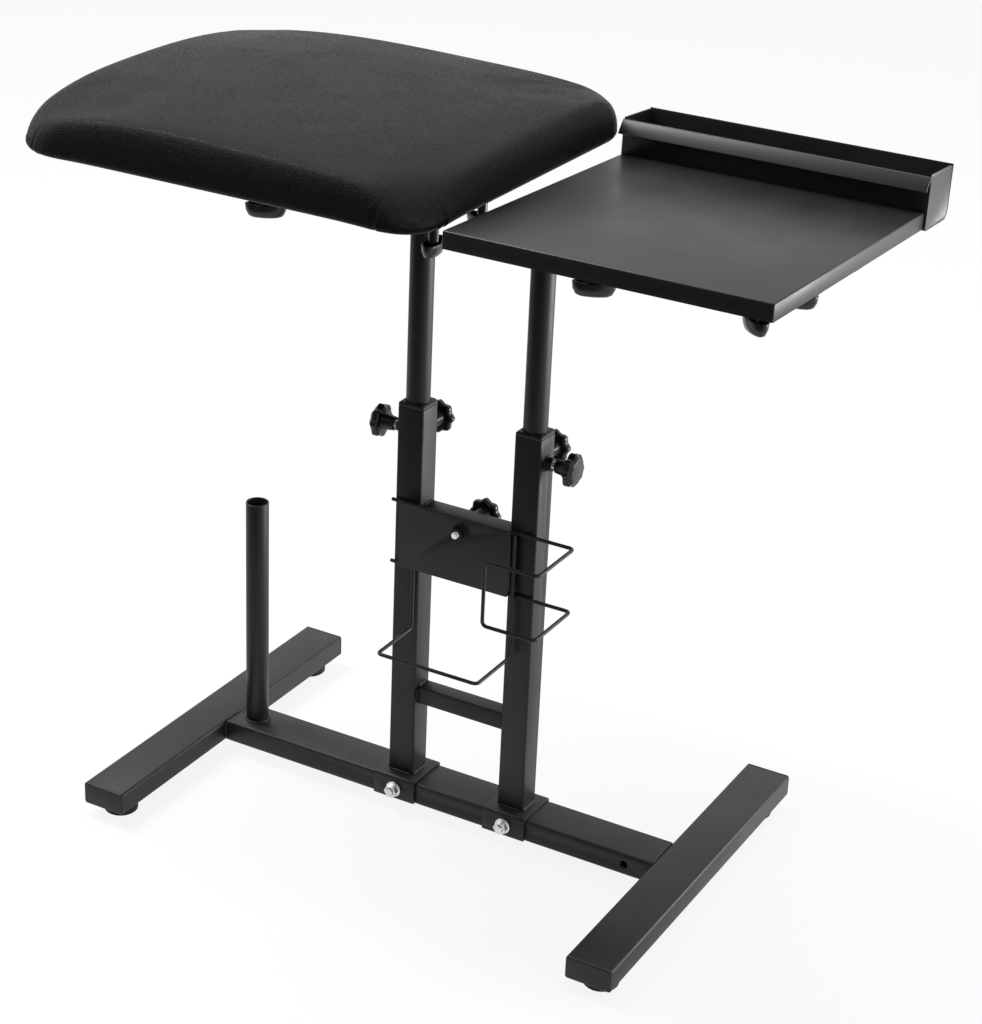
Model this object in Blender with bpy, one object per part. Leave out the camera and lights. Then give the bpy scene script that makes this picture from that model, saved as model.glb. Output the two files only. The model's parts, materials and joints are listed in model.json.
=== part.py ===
"""Tattoo workstation: an H-shaped floor base, two uprights with height-adjustable masts,
an upholstered arm pad on the left mast and a sheet-metal tray with a rear trough on the right one.

Sizes are in millimetres and become metres when a mesh is made. X runs along the crossbar,
-Y faces the artist, and Z = 0 is the floor.
"""

import math

import bmesh
import bpy
from mathutils import Vector

MM = 0.001

# Fits
SEAT_GAP = 0.3
SLIDE_GAP = 0.4
HOLE_GAP = 0.3

# Floor base
BASE_TUBE_WIDTH = 50.0
BASE_TUBE_HEIGHT = 25.0
BASE_TUBE_WALL = 2.0
BASE_TUBE_CORNER = 3.0
FOOT_LENGTH = 430.0
CROSSBAR_LENGTH = 530.0
CAP_LIP = 3.0
CAP_PLUG = 14.0
CAP_EDGE = 1.2
GLIDE_DIAMETER = 36.0
GLIDE_HEIGHT = 15.0
GLIDE_TREAD_DIAMETER = 31.0
GLIDE_TREAD_EDGE = 1.8
GLIDE_SHOULDER_Z = 8.3
GLIDE_NECK_DIAMETER = 32.4
GLIDE_INSET = 31.0
GLIDE_PEG_DIAMETER = 7.4
GLIDE_PEG_LENGTH = 7.0
STUB_LENGTH = 70.0
STUB_WALL = 2.0
LOCK_HOLE_DIAMETER = 9.0
LOCK_HOLE_FROM_END = 32.0
POST_DIAMETER = 25.0
POST_WALL = 1.5
POST_HEIGHT = 266.0
POST_FROM_FOOT = 25.5

# Uprights and what ties them
UPRIGHT_SIDE = 30.0
UPRIGHT_WALL = 1.2
UPRIGHT_CORNER = 2.5
UPRIGHT_TOP_Z = 467.0
LEFT_UPRIGHT_X = -43.2
UPRIGHT_SPACING = 135.0
SADDLE_SHEET = 2.5
SADDLE_LENGTH = 50.0
SADDLE_DROP = 24.0
SADDLE_BEND = 3.0
BOLT_DIAMETER = 8.0
BOLT_HEAD_WIDTH = 13.0
BOLT_HEAD_HEIGHT = 5.5
BOLT_TIP = 2.0
NUT_WIDTH = 13.0
NUT_HEIGHT = 6.5
WASHER_DIAMETER = 18.0
WASHER_HEIGHT = 1.6
TIE_SIDE = 20.0
TIE_WALL = 1.5
TIE_CORNER = 2.0
UPPER_TIE_TOP_Z = 361.0
LOWER_TIE_TOP_Z = 149.5
BUSH_LIP = 4.5
BUSH_EDGE = 1.8
BUSH_PLUG = 20.0
BUSH_FIT = 0.2

# Masts and their clamp knobs
MAST_DIAMETER = 25.0
MAST_WALL = 2.0
MAST_LENGTH = 410.0
CLAMP_BELOW_TOP = 28.0
CLAMP_KNOB_DIAMETER = 36.0
CLAMP_KNOB_HEAD = 11.0
CLAMP_KNOB_BOSS = 13.0
CLAMP_KNOB_BOSS_DIAMETER = 14.5
CLAMP_KNOB_ROOT_DIAMETER = 18.4
CLAMP_KNOB_DOME_DIAMETER = 26.0
CLAMP_KNOB_STANDOFF = 4.0
KNOB_LOBES = 8
KNOB_LOBE_DEPTH = 2.6
KNOB_EDGE = 2.0

# Bottle rack in front of the uprights
WIRE_DIAMETER = 4.0
WIRE_BEND = 5.0
RACK_PLATE_WIDTH = 130.0
RACK_PLATE_HEIGHT = 74.0
RACK_PLATE_SHEET = 2.0
RACK_PLATE_CORNER = 2.0
RACK_PLATE_ABOVE_TIE = 7.0
RACK_PLATE_OVERLAP = 4.0
RACK_WIRE_BELOW_TOP = 4.5
RACK_WIRE_SPACING = 70.0
RACK_WIRE_LEFT_END = 17.0
RACK_LOOP_REACH = 58.5
RACK_LOOP_DEPTH = 74.5
RACK_LOOP_WIDTH = 59.0
RACK_SHELF_BELOW_TOP = 144.0
RACK_SHELF_DEPTH = 67.0
RACK_SHELF_WIDTH = 117.0
RACK_SHELF_FROM_LEFT = 12.5
RACK_STUD_TIP = 10.0

# Slides under the two tops
PAD_UNDERSIDE_Z = 720.0
TRAY_UNDERSIDE_Z = 714.4
TRAY_TILT = 2.5
TOP_GAP = 4.0
TOP_SEAM_X = 78.0
RUNNER_WIDTH = 20.0
RUNNER_HEIGHT = 25.0
RUNNER_WALL = 1.5
RUNNER_CORNER = 2.0
PAD_RUNNER_LENGTH = 360.0
TRAY_RUNNER_LENGTH = 300.0
CHANNEL_SHEET = 3.0
CHANNEL_FLANGE = 12.0
CHANNEL_BEND = 3.0
CHANNEL_MAST_MARGIN = 15.0
CHANNEL_END_MARGIN = 14.0
TOP_TRAVEL = 20.0
KNOB_ROW_Y = 47.0
PAD_NEAR_KNOB = -39.2
PAD_KNOB_PITCH = 193.0
TRAY_NEAR_KNOB = 79.0
TRAY_KNOB_PITCH = 163.0
WING_LENGTH = 42.0
WING_WIDTH = 20.0
WING_BASE_LENGTH = 28.0
WING_BASE_WIDTH = 10.0
WING_HEIGHT = 14.0
WING_WALL = 2.0
WING_HOLLOW = 8.0
WING_DRAFT = 1.2
WING_RIM_DROP = 30.0
WING_BOSS_DIAMETER = 10.4
WING_STUD = 12.0
PAD_WING_TURNS = (28.0, 101.0, 70.0, -20.0)
TRAY_WING_TURNS = (28.0, 137.0, 70.0, 10.0)
STUD_DIAMETER = 8.0

# Arm pad
PAD_WIDTH = 470.0
PAD_DEPTH = 420.0
PAD_CENTRE_Y = 1.0
PAD_THICKNESS = 62.0
PAD_CROWN = 6.5
PAD_CORNER_FALL = 0.35
PAD_ROLL = 25.0
PAD_BULGE_Z = 10.0
PAD_TUCK = 10.0
PAD_COVER_FOLD = 5.0
PAD_FRONT_CORNER = 50.0
PAD_REAR_CORNER = 32.0
PAD_BOARD_THICKNESS = 12.0

# Tray
TRAY_WIDTH = 321.0
TRAY_DEPTH = 361.0
TRAY_FRONT_Y = -177.5
TRAY_SHEET = 1.5
TRAY_LIP = 17.0
TRAY_LIP_RECESS = 2.0
TRAY_BEND = 1.6
TROUGH_OVERHANG = 2.5
TROUGH_DEPTH = 62.0
TROUGH_RISE = 38.0
TROUGH_REAR_STEP = 2.5
TROUGH_DROP = 19.0
TROUGH_END_CORNER = 6.0
TROUGH_FRONT_BEND = 3.0
TROUGH_REAR_BEND = 9.0
TROUGH_HEM_OUT = 11.5
TROUGH_HEM_DROP = 16.5
TROUGH_HEM_BEND = 1.5
TROUGH_END_RECESS = 0.4

# Places worked out from the sizes above
BASE_Z = GLIDE_HEIGHT + BASE_TUBE_HEIGHT / 2
BASE_TOP_Z = GLIDE_HEIGHT + BASE_TUBE_HEIGHT
FOOT_X = CROSSBAR_LENGTH / 2 + BASE_TUBE_WIDTH / 2
FOOT_TUBE_LENGTH = FOOT_LENGTH - 2 * (CAP_LIP + SEAT_GAP)
GLIDE_Y = FOOT_LENGTH / 2 - GLIDE_INSET
RIGHT_UPRIGHT_X = LEFT_UPRIGHT_X + UPRIGHT_SPACING
UPRIGHT_MIDDLE_X = LEFT_UPRIGHT_X + UPRIGHT_SPACING / 2
SADDLE_TOP_Z = BASE_TOP_Z + SEAT_GAP + SADDLE_SHEET
SADDLE_OUTER_Y = BASE_TUBE_WIDTH / 2 + SEAT_GAP + SADDLE_SHEET
CLAMP_Z = UPRIGHT_TOP_Z - CLAMP_BELOW_TOP
SLIDE_STACK = SEAT_GAP + RUNNER_HEIGHT + SEAT_GAP + CHANNEL_SHEET
TILT = math.radians(TRAY_TILT)
LEFT_MAST_TOP_Z = PAD_UNDERSIDE_Z - SLIDE_STACK - SEAT_GAP
RIGHT_MAST_TOP_Z = TRAY_UNDERSIDE_Z - SLIDE_STACK - SEAT_GAP - MAST_DIAMETER / 2 * math.tan(TILT)
PAD_CENTRE_X = TOP_SEAM_X - TOP_GAP / 2 - PAD_WIDTH / 2
TRAY_CENTRE_X = TOP_SEAM_X + TOP_GAP / 2 + TRAY_WIDTH / 2
TRAY_REAR_Y = TRAY_FRONT_Y + TRAY_DEPTH
TROUGH_REAR_TOP = TRAY_SHEET + TROUGH_RISE - TROUGH_REAR_STEP
WIRE_Y = -(UPRIGHT_SIDE / 2 + SEAT_GAP + WIRE_DIAMETER / 2)
SHELF_WIRE_Y = WIRE_Y - WIRE_DIAMETER - SEAT_GAP
RACK_PLATE_Y = SHELF_WIRE_Y - WIRE_DIAMETER / 2 - SEAT_GAP - RACK_PLATE_SHEET / 2
RACK_LEFT_X = LEFT_UPRIGHT_X - RACK_PLATE_OVERLAP
RACK_PLATE_TOP_Z = UPPER_TIE_TOP_Z + RACK_PLATE_ABOVE_TIE
RACK_UPPER_WIRE_Z = RACK_PLATE_TOP_Z - RACK_WIRE_BELOW_TOP
RACK_LOWER_WIRE_Z = RACK_UPPER_WIRE_Z - RACK_WIRE_SPACING
RACK_SHELF_Z = RACK_PLATE_TOP_Z - RACK_SHELF_BELOW_TOP
RACK_STUD_Z = UPPER_TIE_TOP_Z - TIE_SIDE / 2
REAR_END_Y = (TRAY_REAR_Y + TROUGH_DEPTH) * math.cos(TILT) + TROUGH_REAR_TOP * math.sin(TILT)
ORIGIN_X = TOP_SEAM_X + (TRAY_WIDTH + TROUGH_OVERHANG - PAD_WIDTH) / 2
ORIGIN_Y = (REAR_END_Y - FOOT_LENGTH / 2) / 2

# Mesh resolution
CORNER_STEPS = 3
ROUND_STEPS = 24
SMALL_ROUND_STEPS = 12
GLIDE_STEPS = 20
STAR_STEPS = 48
SHARP_ANGLE = math.radians(38)


def clear_scene():
    for obj in list(bpy.data.objects):
        bpy.data.objects.remove(obj, do_unlink=True)


def make_material(name, colour, roughness, metallic=0.0):
    material = bpy.data.materials.new(name)
    material.use_nodes = True
    shader = material.node_tree.nodes["Principled BSDF"]
    shader.inputs["Base Color"].default_value = (*colour, 1.0)
    shader.inputs["Roughness"].default_value = roughness
    shader.inputs["Metallic"].default_value = metallic
    material.diffuse_color = (*colour, 1.0)
    return material


def empty(name, place=(0.0, 0.0, 0.0), parent=None):
    obj = bpy.data.objects.new(name, None)
    obj.location = Vector(place) * MM
    obj.parent = parent
    bpy.context.scene.collection.objects.link(obj)
    return obj


# Outlines: lists of (u, v) points, counter-clockwise


def circle(diameter, count=ROUND_STEPS, phase=0.0):
    angles = [2 * math.pi * (i + phase) / count for i in range(count)]
    return [(diameter / 2 * math.cos(a), diameter / 2 * math.sin(a)) for a in angles]


def oval(length, width):
    angles = [2 * math.pi * i / ROUND_STEPS for i in range(ROUND_STEPS)]
    return [(length / 2 * math.cos(a), width / 2 * math.sin(a)) for a in angles]


def corner_arc(centre, radius, quarter, steps):
    angles = [math.pi / 2 * (quarter + i / steps) for i in range(steps + 1)]
    return [(centre[0] + radius * math.cos(a), centre[1] + radius * math.sin(a)) for a in angles]


def rounded_rect(width, depth, radius, steps=CORNER_STEPS):
    x = width / 2 - radius
    y = depth / 2 - radius
    centres = ((x, y), (-x, y), (-x, -y), (x, -y))
    points = []
    for quarter, centre in enumerate(centres):
        points += corner_arc(centre, radius, quarter, steps)
    return points


def hexagon(width, count=SMALL_ROUND_STEPS):
    """Points on a hexagon of this width across flats, at equal angles."""
    points = []
    for i in range(count):
        angle = 2 * math.pi * i / count
        from_flat = (angle + math.pi / 6) % (math.pi / 3) - math.pi / 6
        radius = width / 2 / math.cos(from_flat)
        points.append((radius * math.cos(angle), radius * math.sin(angle)))
    return points


def star(diameter, lobe_depth):
    """A lobed outline whose lobes and valleys follow a cosine."""
    points = []
    for i in range(STAR_STEPS):
        angle = 2 * math.pi * i / STAR_STEPS
        radius = diameter / 2 - lobe_depth / 2 * (1 - math.cos(KNOB_LOBES * angle))
        points.append((radius * math.cos(angle), radius * math.sin(angle)))
    return points


def pad_outline(inset, side_points=4, corner_steps=8):
    """The pad seen from above, drawn in by the inset, with extra points along its sides."""
    least = PAD_REAR_CORNER / 4
    rear = max(PAD_REAR_CORNER - inset, least)
    front = max(PAD_FRONT_CORNER - inset, least)
    corners = []
    quarters = ((1, 1, rear), (-1, 1, rear), (-1, -1, front), (1, -1, front))
    for quarter, (sx, sy, radius) in enumerate(quarters):
        x = sx * (PAD_WIDTH / 2 - inset - radius)
        y = sy * (PAD_DEPTH / 2 - inset - radius)
        corners += corner_arc((x, y), radius, quarter, corner_steps)
    outline = []
    for i, point in enumerate(corners):
        outline.append(point)
        if (i + 1) % (corner_steps + 1) == 0:
            start = Vector(point)
            end = Vector(corners[(i + 1) % len(corners)])
            outline += [tuple(start.lerp(end, k / side_points)) for k in range(1, side_points)]
    return outline


def pad_ring(inset, height):
    """A pad outline at a height that falls towards the corners and rises in a dome to the middle."""
    above = max(height - PAD_BULGE_Z, 0.0)
    share = above / (PAD_THICKNESS - PAD_CROWN - PAD_BULGE_Z)
    points = []
    for x, y in pad_outline(inset):
        across = 2 * x / PAD_WIDTH
        along = 2 * y / PAD_DEPTH
        fall = above * PAD_CORNER_FALL * (across * along) ** 2
        dome = PAD_CROWN * math.cos(math.pi / 2 * across) * math.cos(math.pi / 2 * along)
        points.append((x, y, height - fall + share * dome))
    return points


def fillet(points, radii, steps=5):
    """A path through these points with each inner corner turned into an arc."""
    path = [Vector(points[0])]
    for i in range(1, len(points) - 1):
        corner = Vector(points[i])
        back = (Vector(points[i - 1]) - corner).normalized()
        ahead = (Vector(points[i + 1]) - corner).normalized()
        half = back.angle(ahead) / 2
        centre = corner + (back + ahead).normalized() * (radii[i - 1] / math.sin(half))
        first = corner + back * (radii[i - 1] / math.tan(half)) - centre
        last = corner + ahead * (radii[i - 1] / math.tan(half)) - centre
        turn = math.pi - 2 * half
        for k in range(steps + 1):
            share = k / steps
            arm = first * math.sin((1 - share) * turn) + last * math.sin(share * turn)
            path.append(centre + arm / math.sin(turn))
    path.append(Vector(points[-1]))
    return path


def folded_sheet(points, radii, sheet):
    """The closed section of a sheet folded along the middle line through these points."""
    path = fillet(points, radii)
    left = []
    right = []
    for i, point in enumerate(path):
        before = (point - path[max(i - 1, 0)]).normalized()
        after = (path[min(i + 1, len(path) - 1)] - point).normalized()
        along = (before + after).normalized()
        normal = Vector((-along.y, along.x))
        reach = sheet / 2 / max(along.dot(after if after.length else before), 0.2)
        left.append(tuple(point + normal * reach))
        right.append(tuple(point - normal * reach))
    return right + left[::-1]


# Meshes


def ring(outline, along, axis="Z"):
    """An outline at one station of an axis: u and v follow X, Y, Z in cyclic order after the axis."""
    if axis == "X":
        return [(along, u, v) for u, v in outline]
    if axis == "Y":
        return [(v, along, u) for u, v in outline]
    return [(u, v, along) for u, v in outline]


def bridge(mesh, low, high):
    """Faces between two rings. The finer ring has a whole number of points for each coarse one."""
    if len(low) > len(high):
        low, high = high, low
    step = len(high) // len(low)
    for i, corner in enumerate(low):
        following = low[(i + 1) % len(low)]
        fan = [high[(i * step + k) % len(high)] for k in range(step + 1)]
        if step == 1:
            mesh.faces.new((corner, following, fan[1], fan[0]))
            continue
        for first, second in zip(fan, fan[1:]):
            mesh.faces.new((corner, second, first))
        mesh.faces.new((corner, following, fan[-1]))


def loft(rings, closed=False):
    """A closed mesh through the rings: capped at both ends, or joined end to end when closed."""
    mesh = bmesh.new()
    loops = [[mesh.verts.new(Vector(point) * MM) for point in points] for points in rings]
    for low, high in zip(loops, loops[1:]):
        bridge(mesh, low, high)
    if closed:
        bridge(mesh, loops[-1], loops[0])
    else:
        mesh.faces.new(loops[0])
        mesh.faces.new(loops[-1])
    bmesh.ops.recalc_face_normals(mesh, faces=mesh.faces)
    return mesh


def prism(outline, start, end, axis="Z"):
    return loft([ring(outline, start, axis), ring(outline, end, axis)])


def hollow(outer, inner, start, end, axis="Z"):
    """A straight tube between two outlines with equal numbers of points."""
    stations = ((outer, start), (outer, end), (inner, end), (inner, start))
    return loft([ring(outline, along, axis) for outline, along in stations], closed=True)


def square_tube(width, depth, wall, corner, start, end, axis):
    inner_corner = max(corner - wall, corner / 4)
    outer = rounded_rect(width, depth, corner)
    inner = rounded_rect(width - 2 * wall, depth - 2 * wall, inner_corner)
    return hollow(outer, inner, start, end, axis)


def shade(mesh):
    """Curved runs of faces are smooth, and edges sharper than SHARP_ANGLE stay crisp."""
    for face in mesh.faces:
        angles = [edge.calc_face_angle(0.0) for edge in face.edges]
        face.smooth = any(1e-3 < angle < SHARP_ANGLE for angle in angles)
    for edge in mesh.edges:
        edge.smooth = edge.calc_face_angle(0.0) < SHARP_ANGLE


def add(name, mesh, material, parent, place=(0.0, 0.0, 0.0)):
    shade(mesh)
    data = bpy.data.meshes.new(name)
    mesh.to_mesh(data)
    mesh.free()
    data.materials.append(material)
    obj = bpy.data.objects.new(name, data)
    obj.location = Vector(place) * MM
    obj.parent = parent
    bpy.context.scene.collection.objects.link(obj)
    return obj


def combine(target, mesh, place, operation="DIFFERENCE"):
    """Cuts a helper mesh from the target, or joins it on. Its place is in the frame of the target's parent."""
    name = f"{target.name}_{operation.lower()}_{len(target.modifiers)}"
    helper = add(name, mesh, target.data.materials[0], target.parent, place)
    helper.hide_render = True
    helper.display_type = "WIRE"
    modifier = target.modifiers.new(operation.title(), "BOOLEAN")
    modifier.operation = operation
    modifier.solver = "EXACT"
    modifier.object = helper


def drill(target, diameter, start, end, place, axis):
    outline = circle(diameter, SMALL_ROUND_STEPS)
    combine(target, prism(outline, start, end, axis), place)


# Sub-parts


def build_feet(root, looks):
    inner_width = BASE_TUBE_WIDTH - 2 * BASE_TUBE_WALL
    inner_height = BASE_TUBE_HEIGHT - 2 * BASE_TUBE_WALL
    plug = rounded_rect(inner_height - 2 * SEAT_GAP, inner_width - 2 * SEAT_GAP, BASE_TUBE_CORNER / 2)
    outline = rounded_rect(BASE_TUBE_HEIGHT, BASE_TUBE_WIDTH, BASE_TUBE_CORNER)
    face_height = BASE_TUBE_HEIGHT - 2 * CAP_EDGE
    face_width = BASE_TUBE_WIDTH - 2 * CAP_EDGE
    face = rounded_rect(face_height, face_width, BASE_TUBE_CORNER - CAP_EDGE)
    half = FOOT_TUBE_LENGTH / 2
    for side, x in (("left", -FOOT_X), ("right", FOOT_X)):
        tube = square_tube(
            BASE_TUBE_HEIGHT, BASE_TUBE_WIDTH, BASE_TUBE_WALL, BASE_TUBE_CORNER, -half, half, "Y"
        )
        foot = add(f"{side}_foot_tube", tube, looks["paint"], root, (x, 0, BASE_Z))
        for end, sign in (("front", -1), ("rear", 1)):
            seat = sign * (half + SEAT_GAP)
            cap = loft(
                [
                    ring(face, seat + sign * CAP_LIP, "Y"),
                    ring(outline, seat + sign * (CAP_LIP - CAP_EDGE), "Y"),
                    ring(outline, seat, "Y"),
                    ring(plug, seat, "Y"),
                    ring(plug, seat - sign * CAP_PLUG, "Y"),
                ]
            )
            add(f"{side}_{end}_end_cap", cap, looks["cap"], root, (x, 0, BASE_Z))
            glide_place = (x, sign * GLIDE_Y, 0)
            add(f"{side}_{end}_glide", glide_mesh(), looks["rubber"], root, glide_place)
            peg_hole = GLIDE_PEG_DIAMETER + 2 * HOLE_GAP
            below = GLIDE_HEIGHT - BASE_TUBE_WALL
            above = GLIDE_HEIGHT + 2 * BASE_TUBE_WALL
            drill(foot, peg_hole, below, above, glide_place, "Z")


def glide_mesh():
    """A moulded foot with a rounded tread and a peg that plugs into the tube."""
    top = GLIDE_HEIGHT - SEAT_GAP
    profile = (
        (GLIDE_TREAD_DIAMETER, 0.0),
        (GLIDE_DIAMETER, GLIDE_TREAD_EDGE),
        (GLIDE_DIAMETER, GLIDE_SHOULDER_Z),
        (GLIDE_NECK_DIAMETER, top),
        (GLIDE_PEG_DIAMETER, top),
        (GLIDE_PEG_DIAMETER, top + GLIDE_PEG_LENGTH),
    )
    return loft([ring(circle(diameter, GLIDE_STEPS), z) for diameter, z in profile])


def build_crossbar(root, looks):
    half = CROSSBAR_LENGTH / 2 - SEAT_GAP
    tube = square_tube(
        BASE_TUBE_WIDTH, BASE_TUBE_HEIGHT, BASE_TUBE_WALL, BASE_TUBE_CORNER, -half, half, "X"
    )
    crossbar = add("crossbar", tube, looks["paint"], root, (0, 0, BASE_Z))
    lock_x = CROSSBAR_LENGTH / 2 - LOCK_HOLE_FROM_END
    reach = BASE_TUBE_WIDTH
    drill(crossbar, LOCK_HOLE_DIAMETER, -reach, reach, (lock_x, 0, BASE_Z), "Y")
    for x in (LEFT_UPRIGHT_X, RIGHT_UPRIGHT_X):
        drill(crossbar, BOLT_DIAMETER + 2 * HOLE_GAP, -reach, reach, (x, 0, BASE_Z), "Y")

    stub_width = BASE_TUBE_WIDTH - 2 * (BASE_TUBE_WALL + SLIDE_GAP)
    stub_height = BASE_TUBE_HEIGHT - 2 * (BASE_TUBE_WALL + SLIDE_GAP)
    stub_tube = square_tube(
        stub_width, stub_height, STUB_WALL, BASE_TUBE_CORNER / 2, half - STUB_LENGTH, half, "X"
    )
    stub = add("right_foot_stub", stub_tube, looks["paint"], root, (0, 0, BASE_Z))
    drill(stub, LOCK_HOLE_DIAMETER, -reach, reach, (lock_x, 0, BASE_Z), "Y")

    post_x = -CROSSBAR_LENGTH / 2 + POST_FROM_FOOT
    post = hollow(circle(POST_DIAMETER), circle(POST_DIAMETER - 2 * POST_WALL), 0, POST_HEIGHT)
    add("accessory_post", post, looks["paint"], root, (post_x, 0, BASE_TOP_Z + SEAT_GAP))


def build_uprights(root, looks):
    for side, x, outward in (("left", LEFT_UPRIGHT_X, -1), ("right", RIGHT_UPRIGHT_X, 1)):
        build_saddle(side, x, root, looks)
        start = SADDLE_TOP_Z + SEAT_GAP
        tube = square_tube(
            UPRIGHT_SIDE, UPRIGHT_SIDE, UPRIGHT_WALL, UPRIGHT_CORNER, start, UPRIGHT_TOP_Z, "Z"
        )
        upright = add(f"{side}_upright", tube, looks["paint"], root, (x, 0, 0))
        add(f"{side}_guide_bush", bush_mesh(), looks["cap"], root, (x, 0, UPRIGHT_TOP_Z + SEAT_GAP))
        stud_hole = STUD_DIAMETER + 2 * HOLE_GAP
        inside = UPRIGHT_SIDE / 4
        drill(upright, stud_hole, outward * inside, outward * UPRIGHT_SIDE, (x, 0, CLAMP_Z), "X")
        drill(upright, stud_hole, inside, UPRIGHT_SIDE, (x, 0, CLAMP_Z), "Y")
        for face, axis, sign in (("side", "X", outward), ("rear", "Y", 1)):
            place = (x, 0, CLAMP_Z)
            nut_start = sign * (UPRIGHT_SIDE / 2 + SEAT_GAP)
            nut = nut_mesh(nut_start, nut_start + sign * NUT_HEIGHT, axis)
            add(f"{side}_{face}_weld_nut", nut, looks["paint"], root, place)
            boss = UPRIGHT_SIDE / 2 + SEAT_GAP + NUT_HEIGHT + CLAMP_KNOB_STANDOFF
            tip = MAST_DIAMETER / 2 + SEAT_GAP
            knob = star_knob_mesh(sign * tip, sign * boss, sign, axis)
            add(f"{side}_{face}_clamp_knob", knob, looks["knob"], root, place)

    tie_half = (UPRIGHT_SPACING - UPRIGHT_SIDE) / 2 - SEAT_GAP
    for name, top in (("upper_tie", UPPER_TIE_TOP_Z), ("lower_tie", LOWER_TIE_TOP_Z)):
        tube = square_tube(TIE_SIDE, TIE_SIDE, TIE_WALL, TIE_CORNER, -tie_half, tie_half, "X")
        place = (UPRIGHT_MIDDLE_X, 0, top - TIE_SIDE / 2)
        tie = add(name, tube, looks["paint"], root, place)
        if name == "upper_tie":
            drill(tie, STUD_DIAMETER + 2 * HOLE_GAP, -TIE_SIDE, TIE_SIDE, place, "Y")


def build_saddle(side, x, root, looks):
    """The folded foot of an upright, bolted across the crossbar."""
    middle_y = BASE_TUBE_WIDTH / 2 + SEAT_GAP + SADDLE_SHEET / 2
    middle_z = BASE_TOP_Z + SEAT_GAP + SADDLE_SHEET / 2
    low_z = BASE_TOP_Z - SADDLE_DROP
    path = ((-middle_y, low_z), (-middle_y, middle_z), (middle_y, middle_z), (middle_y, low_z))
    section = folded_sheet(path, (SADDLE_BEND, SADDLE_BEND), SADDLE_SHEET)
    half = SADDLE_LENGTH / 2
    saddle = add(f"{side}_saddle", prism(section, -half, half, "X"), looks["paint"], root, (x, 0, 0))
    reach = 2 * SADDLE_OUTER_Y
    place = (x, 0, BASE_Z)
    drill(saddle, BOLT_DIAMETER + 2 * HOLE_GAP, -reach, reach, place, "Y")

    head_y = SADDLE_OUTER_Y + SEAT_GAP
    nut_end_y = -(SADDLE_OUTER_Y + SEAT_GAP + WASHER_HEIGHT + NUT_HEIGHT)
    bolt = loft(
        [
            ring(hexagon(BOLT_HEAD_WIDTH), head_y + BOLT_HEAD_HEIGHT, "Y"),
            ring(hexagon(BOLT_HEAD_WIDTH), head_y, "Y"),
            ring(circle(BOLT_DIAMETER, SMALL_ROUND_STEPS), head_y, "Y"),
            ring(circle(BOLT_DIAMETER, SMALL_ROUND_STEPS), nut_end_y - BOLT_TIP, "Y"),
        ]
    )
    add(f"{side}_saddle_bolt", bolt, looks["zinc"], root, place)
    bore = circle(BOLT_DIAMETER + 2 * HOLE_GAP, SMALL_ROUND_STEPS)
    washer = circle(WASHER_DIAMETER, SMALL_ROUND_STEPS)
    seat_y = -(SADDLE_OUTER_Y + SEAT_GAP)
    nut = loft(
        [
            ring(washer, seat_y, "Y"),
            ring(washer, seat_y - WASHER_HEIGHT, "Y"),
            ring(hexagon(NUT_WIDTH), seat_y - WASHER_HEIGHT, "Y"),
            ring(hexagon(NUT_WIDTH), nut_end_y, "Y"),
            ring(bore, nut_end_y, "Y"),
            ring(bore, seat_y, "Y"),
        ],
        closed=True,
    )
    add(f"{side}_saddle_nut", nut, looks["zinc"], root, place)


def bush_mesh():
    """A moulded guide: a lip on the tube's rim and a thin sleeve inside it, bored for the mast."""
    inner = UPRIGHT_SIDE - 2 * UPRIGHT_WALL
    steps = ROUND_STEPS // 4 - 1
    lip_top_side = UPRIGHT_SIDE - 2 * BUSH_EDGE
    lip_top = rounded_rect(lip_top_side, lip_top_side, UPRIGHT_CORNER, steps)
    lip = rounded_rect(UPRIGHT_SIDE, UPRIGHT_SIDE, UPRIGHT_CORNER, steps)
    sleeve_side = inner - 2 * BUSH_FIT
    sleeve = rounded_rect(sleeve_side, sleeve_side, UPRIGHT_CORNER - UPRIGHT_WALL, steps)
    bore = circle(MAST_DIAMETER + 2 * HOLE_GAP, ROUND_STEPS, 0.5)
    stations = (
        (lip_top, BUSH_LIP),
        (lip, BUSH_LIP - BUSH_EDGE),
        (lip, 0.0),
        (sleeve, 0.0),
        (sleeve, -BUSH_PLUG),
        (bore, -BUSH_PLUG),
        (bore, BUSH_LIP),
    )
    return loft([ring(outline, z) for outline, z in stations], closed=True)


def nut_mesh(start, end, axis):
    bore = circle(STUD_DIAMETER + 2 * HOLE_GAP, SMALL_ROUND_STEPS)
    return hollow(hexagon(NUT_WIDTH), bore, start, end, axis)


def star_knob_mesh(tip, boss_start, sign, axis):
    """A lobed hand knob on its stud: stud, conical boss, then a head with a domed face."""
    head = boss_start + sign * CLAMP_KNOB_BOSS
    face = head + sign * CLAMP_KNOB_HEAD
    phase = STAR_STEPS // SMALL_ROUND_STEPS / 2 * SMALL_ROUND_STEPS / STAR_STEPS
    stud = circle(STUD_DIAMETER, SMALL_ROUND_STEPS, phase)
    boss = circle(CLAMP_KNOB_BOSS_DIAMETER, SMALL_ROUND_STEPS, phase)
    root = circle(CLAMP_KNOB_ROOT_DIAMETER, SMALL_ROUND_STEPS, phase)
    edge = star(CLAMP_KNOB_DIAMETER - 2 * KNOB_EDGE, KNOB_LOBE_DEPTH)
    rim = star(CLAMP_KNOB_DIAMETER, KNOB_LOBE_DEPTH)
    dome = star(CLAMP_KNOB_DOME_DIAMETER, KNOB_LOBE_DEPTH / 2)
    stations = (
        (stud, tip),
        (stud, boss_start),
        (boss, boss_start),
        (root, head),
        (edge, head),
        (rim, head + sign * KNOB_EDGE),
        (rim, face - sign * 2 * KNOB_EDGE),
        (dome, face),
    )
    return loft([ring(outline, along, axis) for outline, along in stations])


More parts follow.
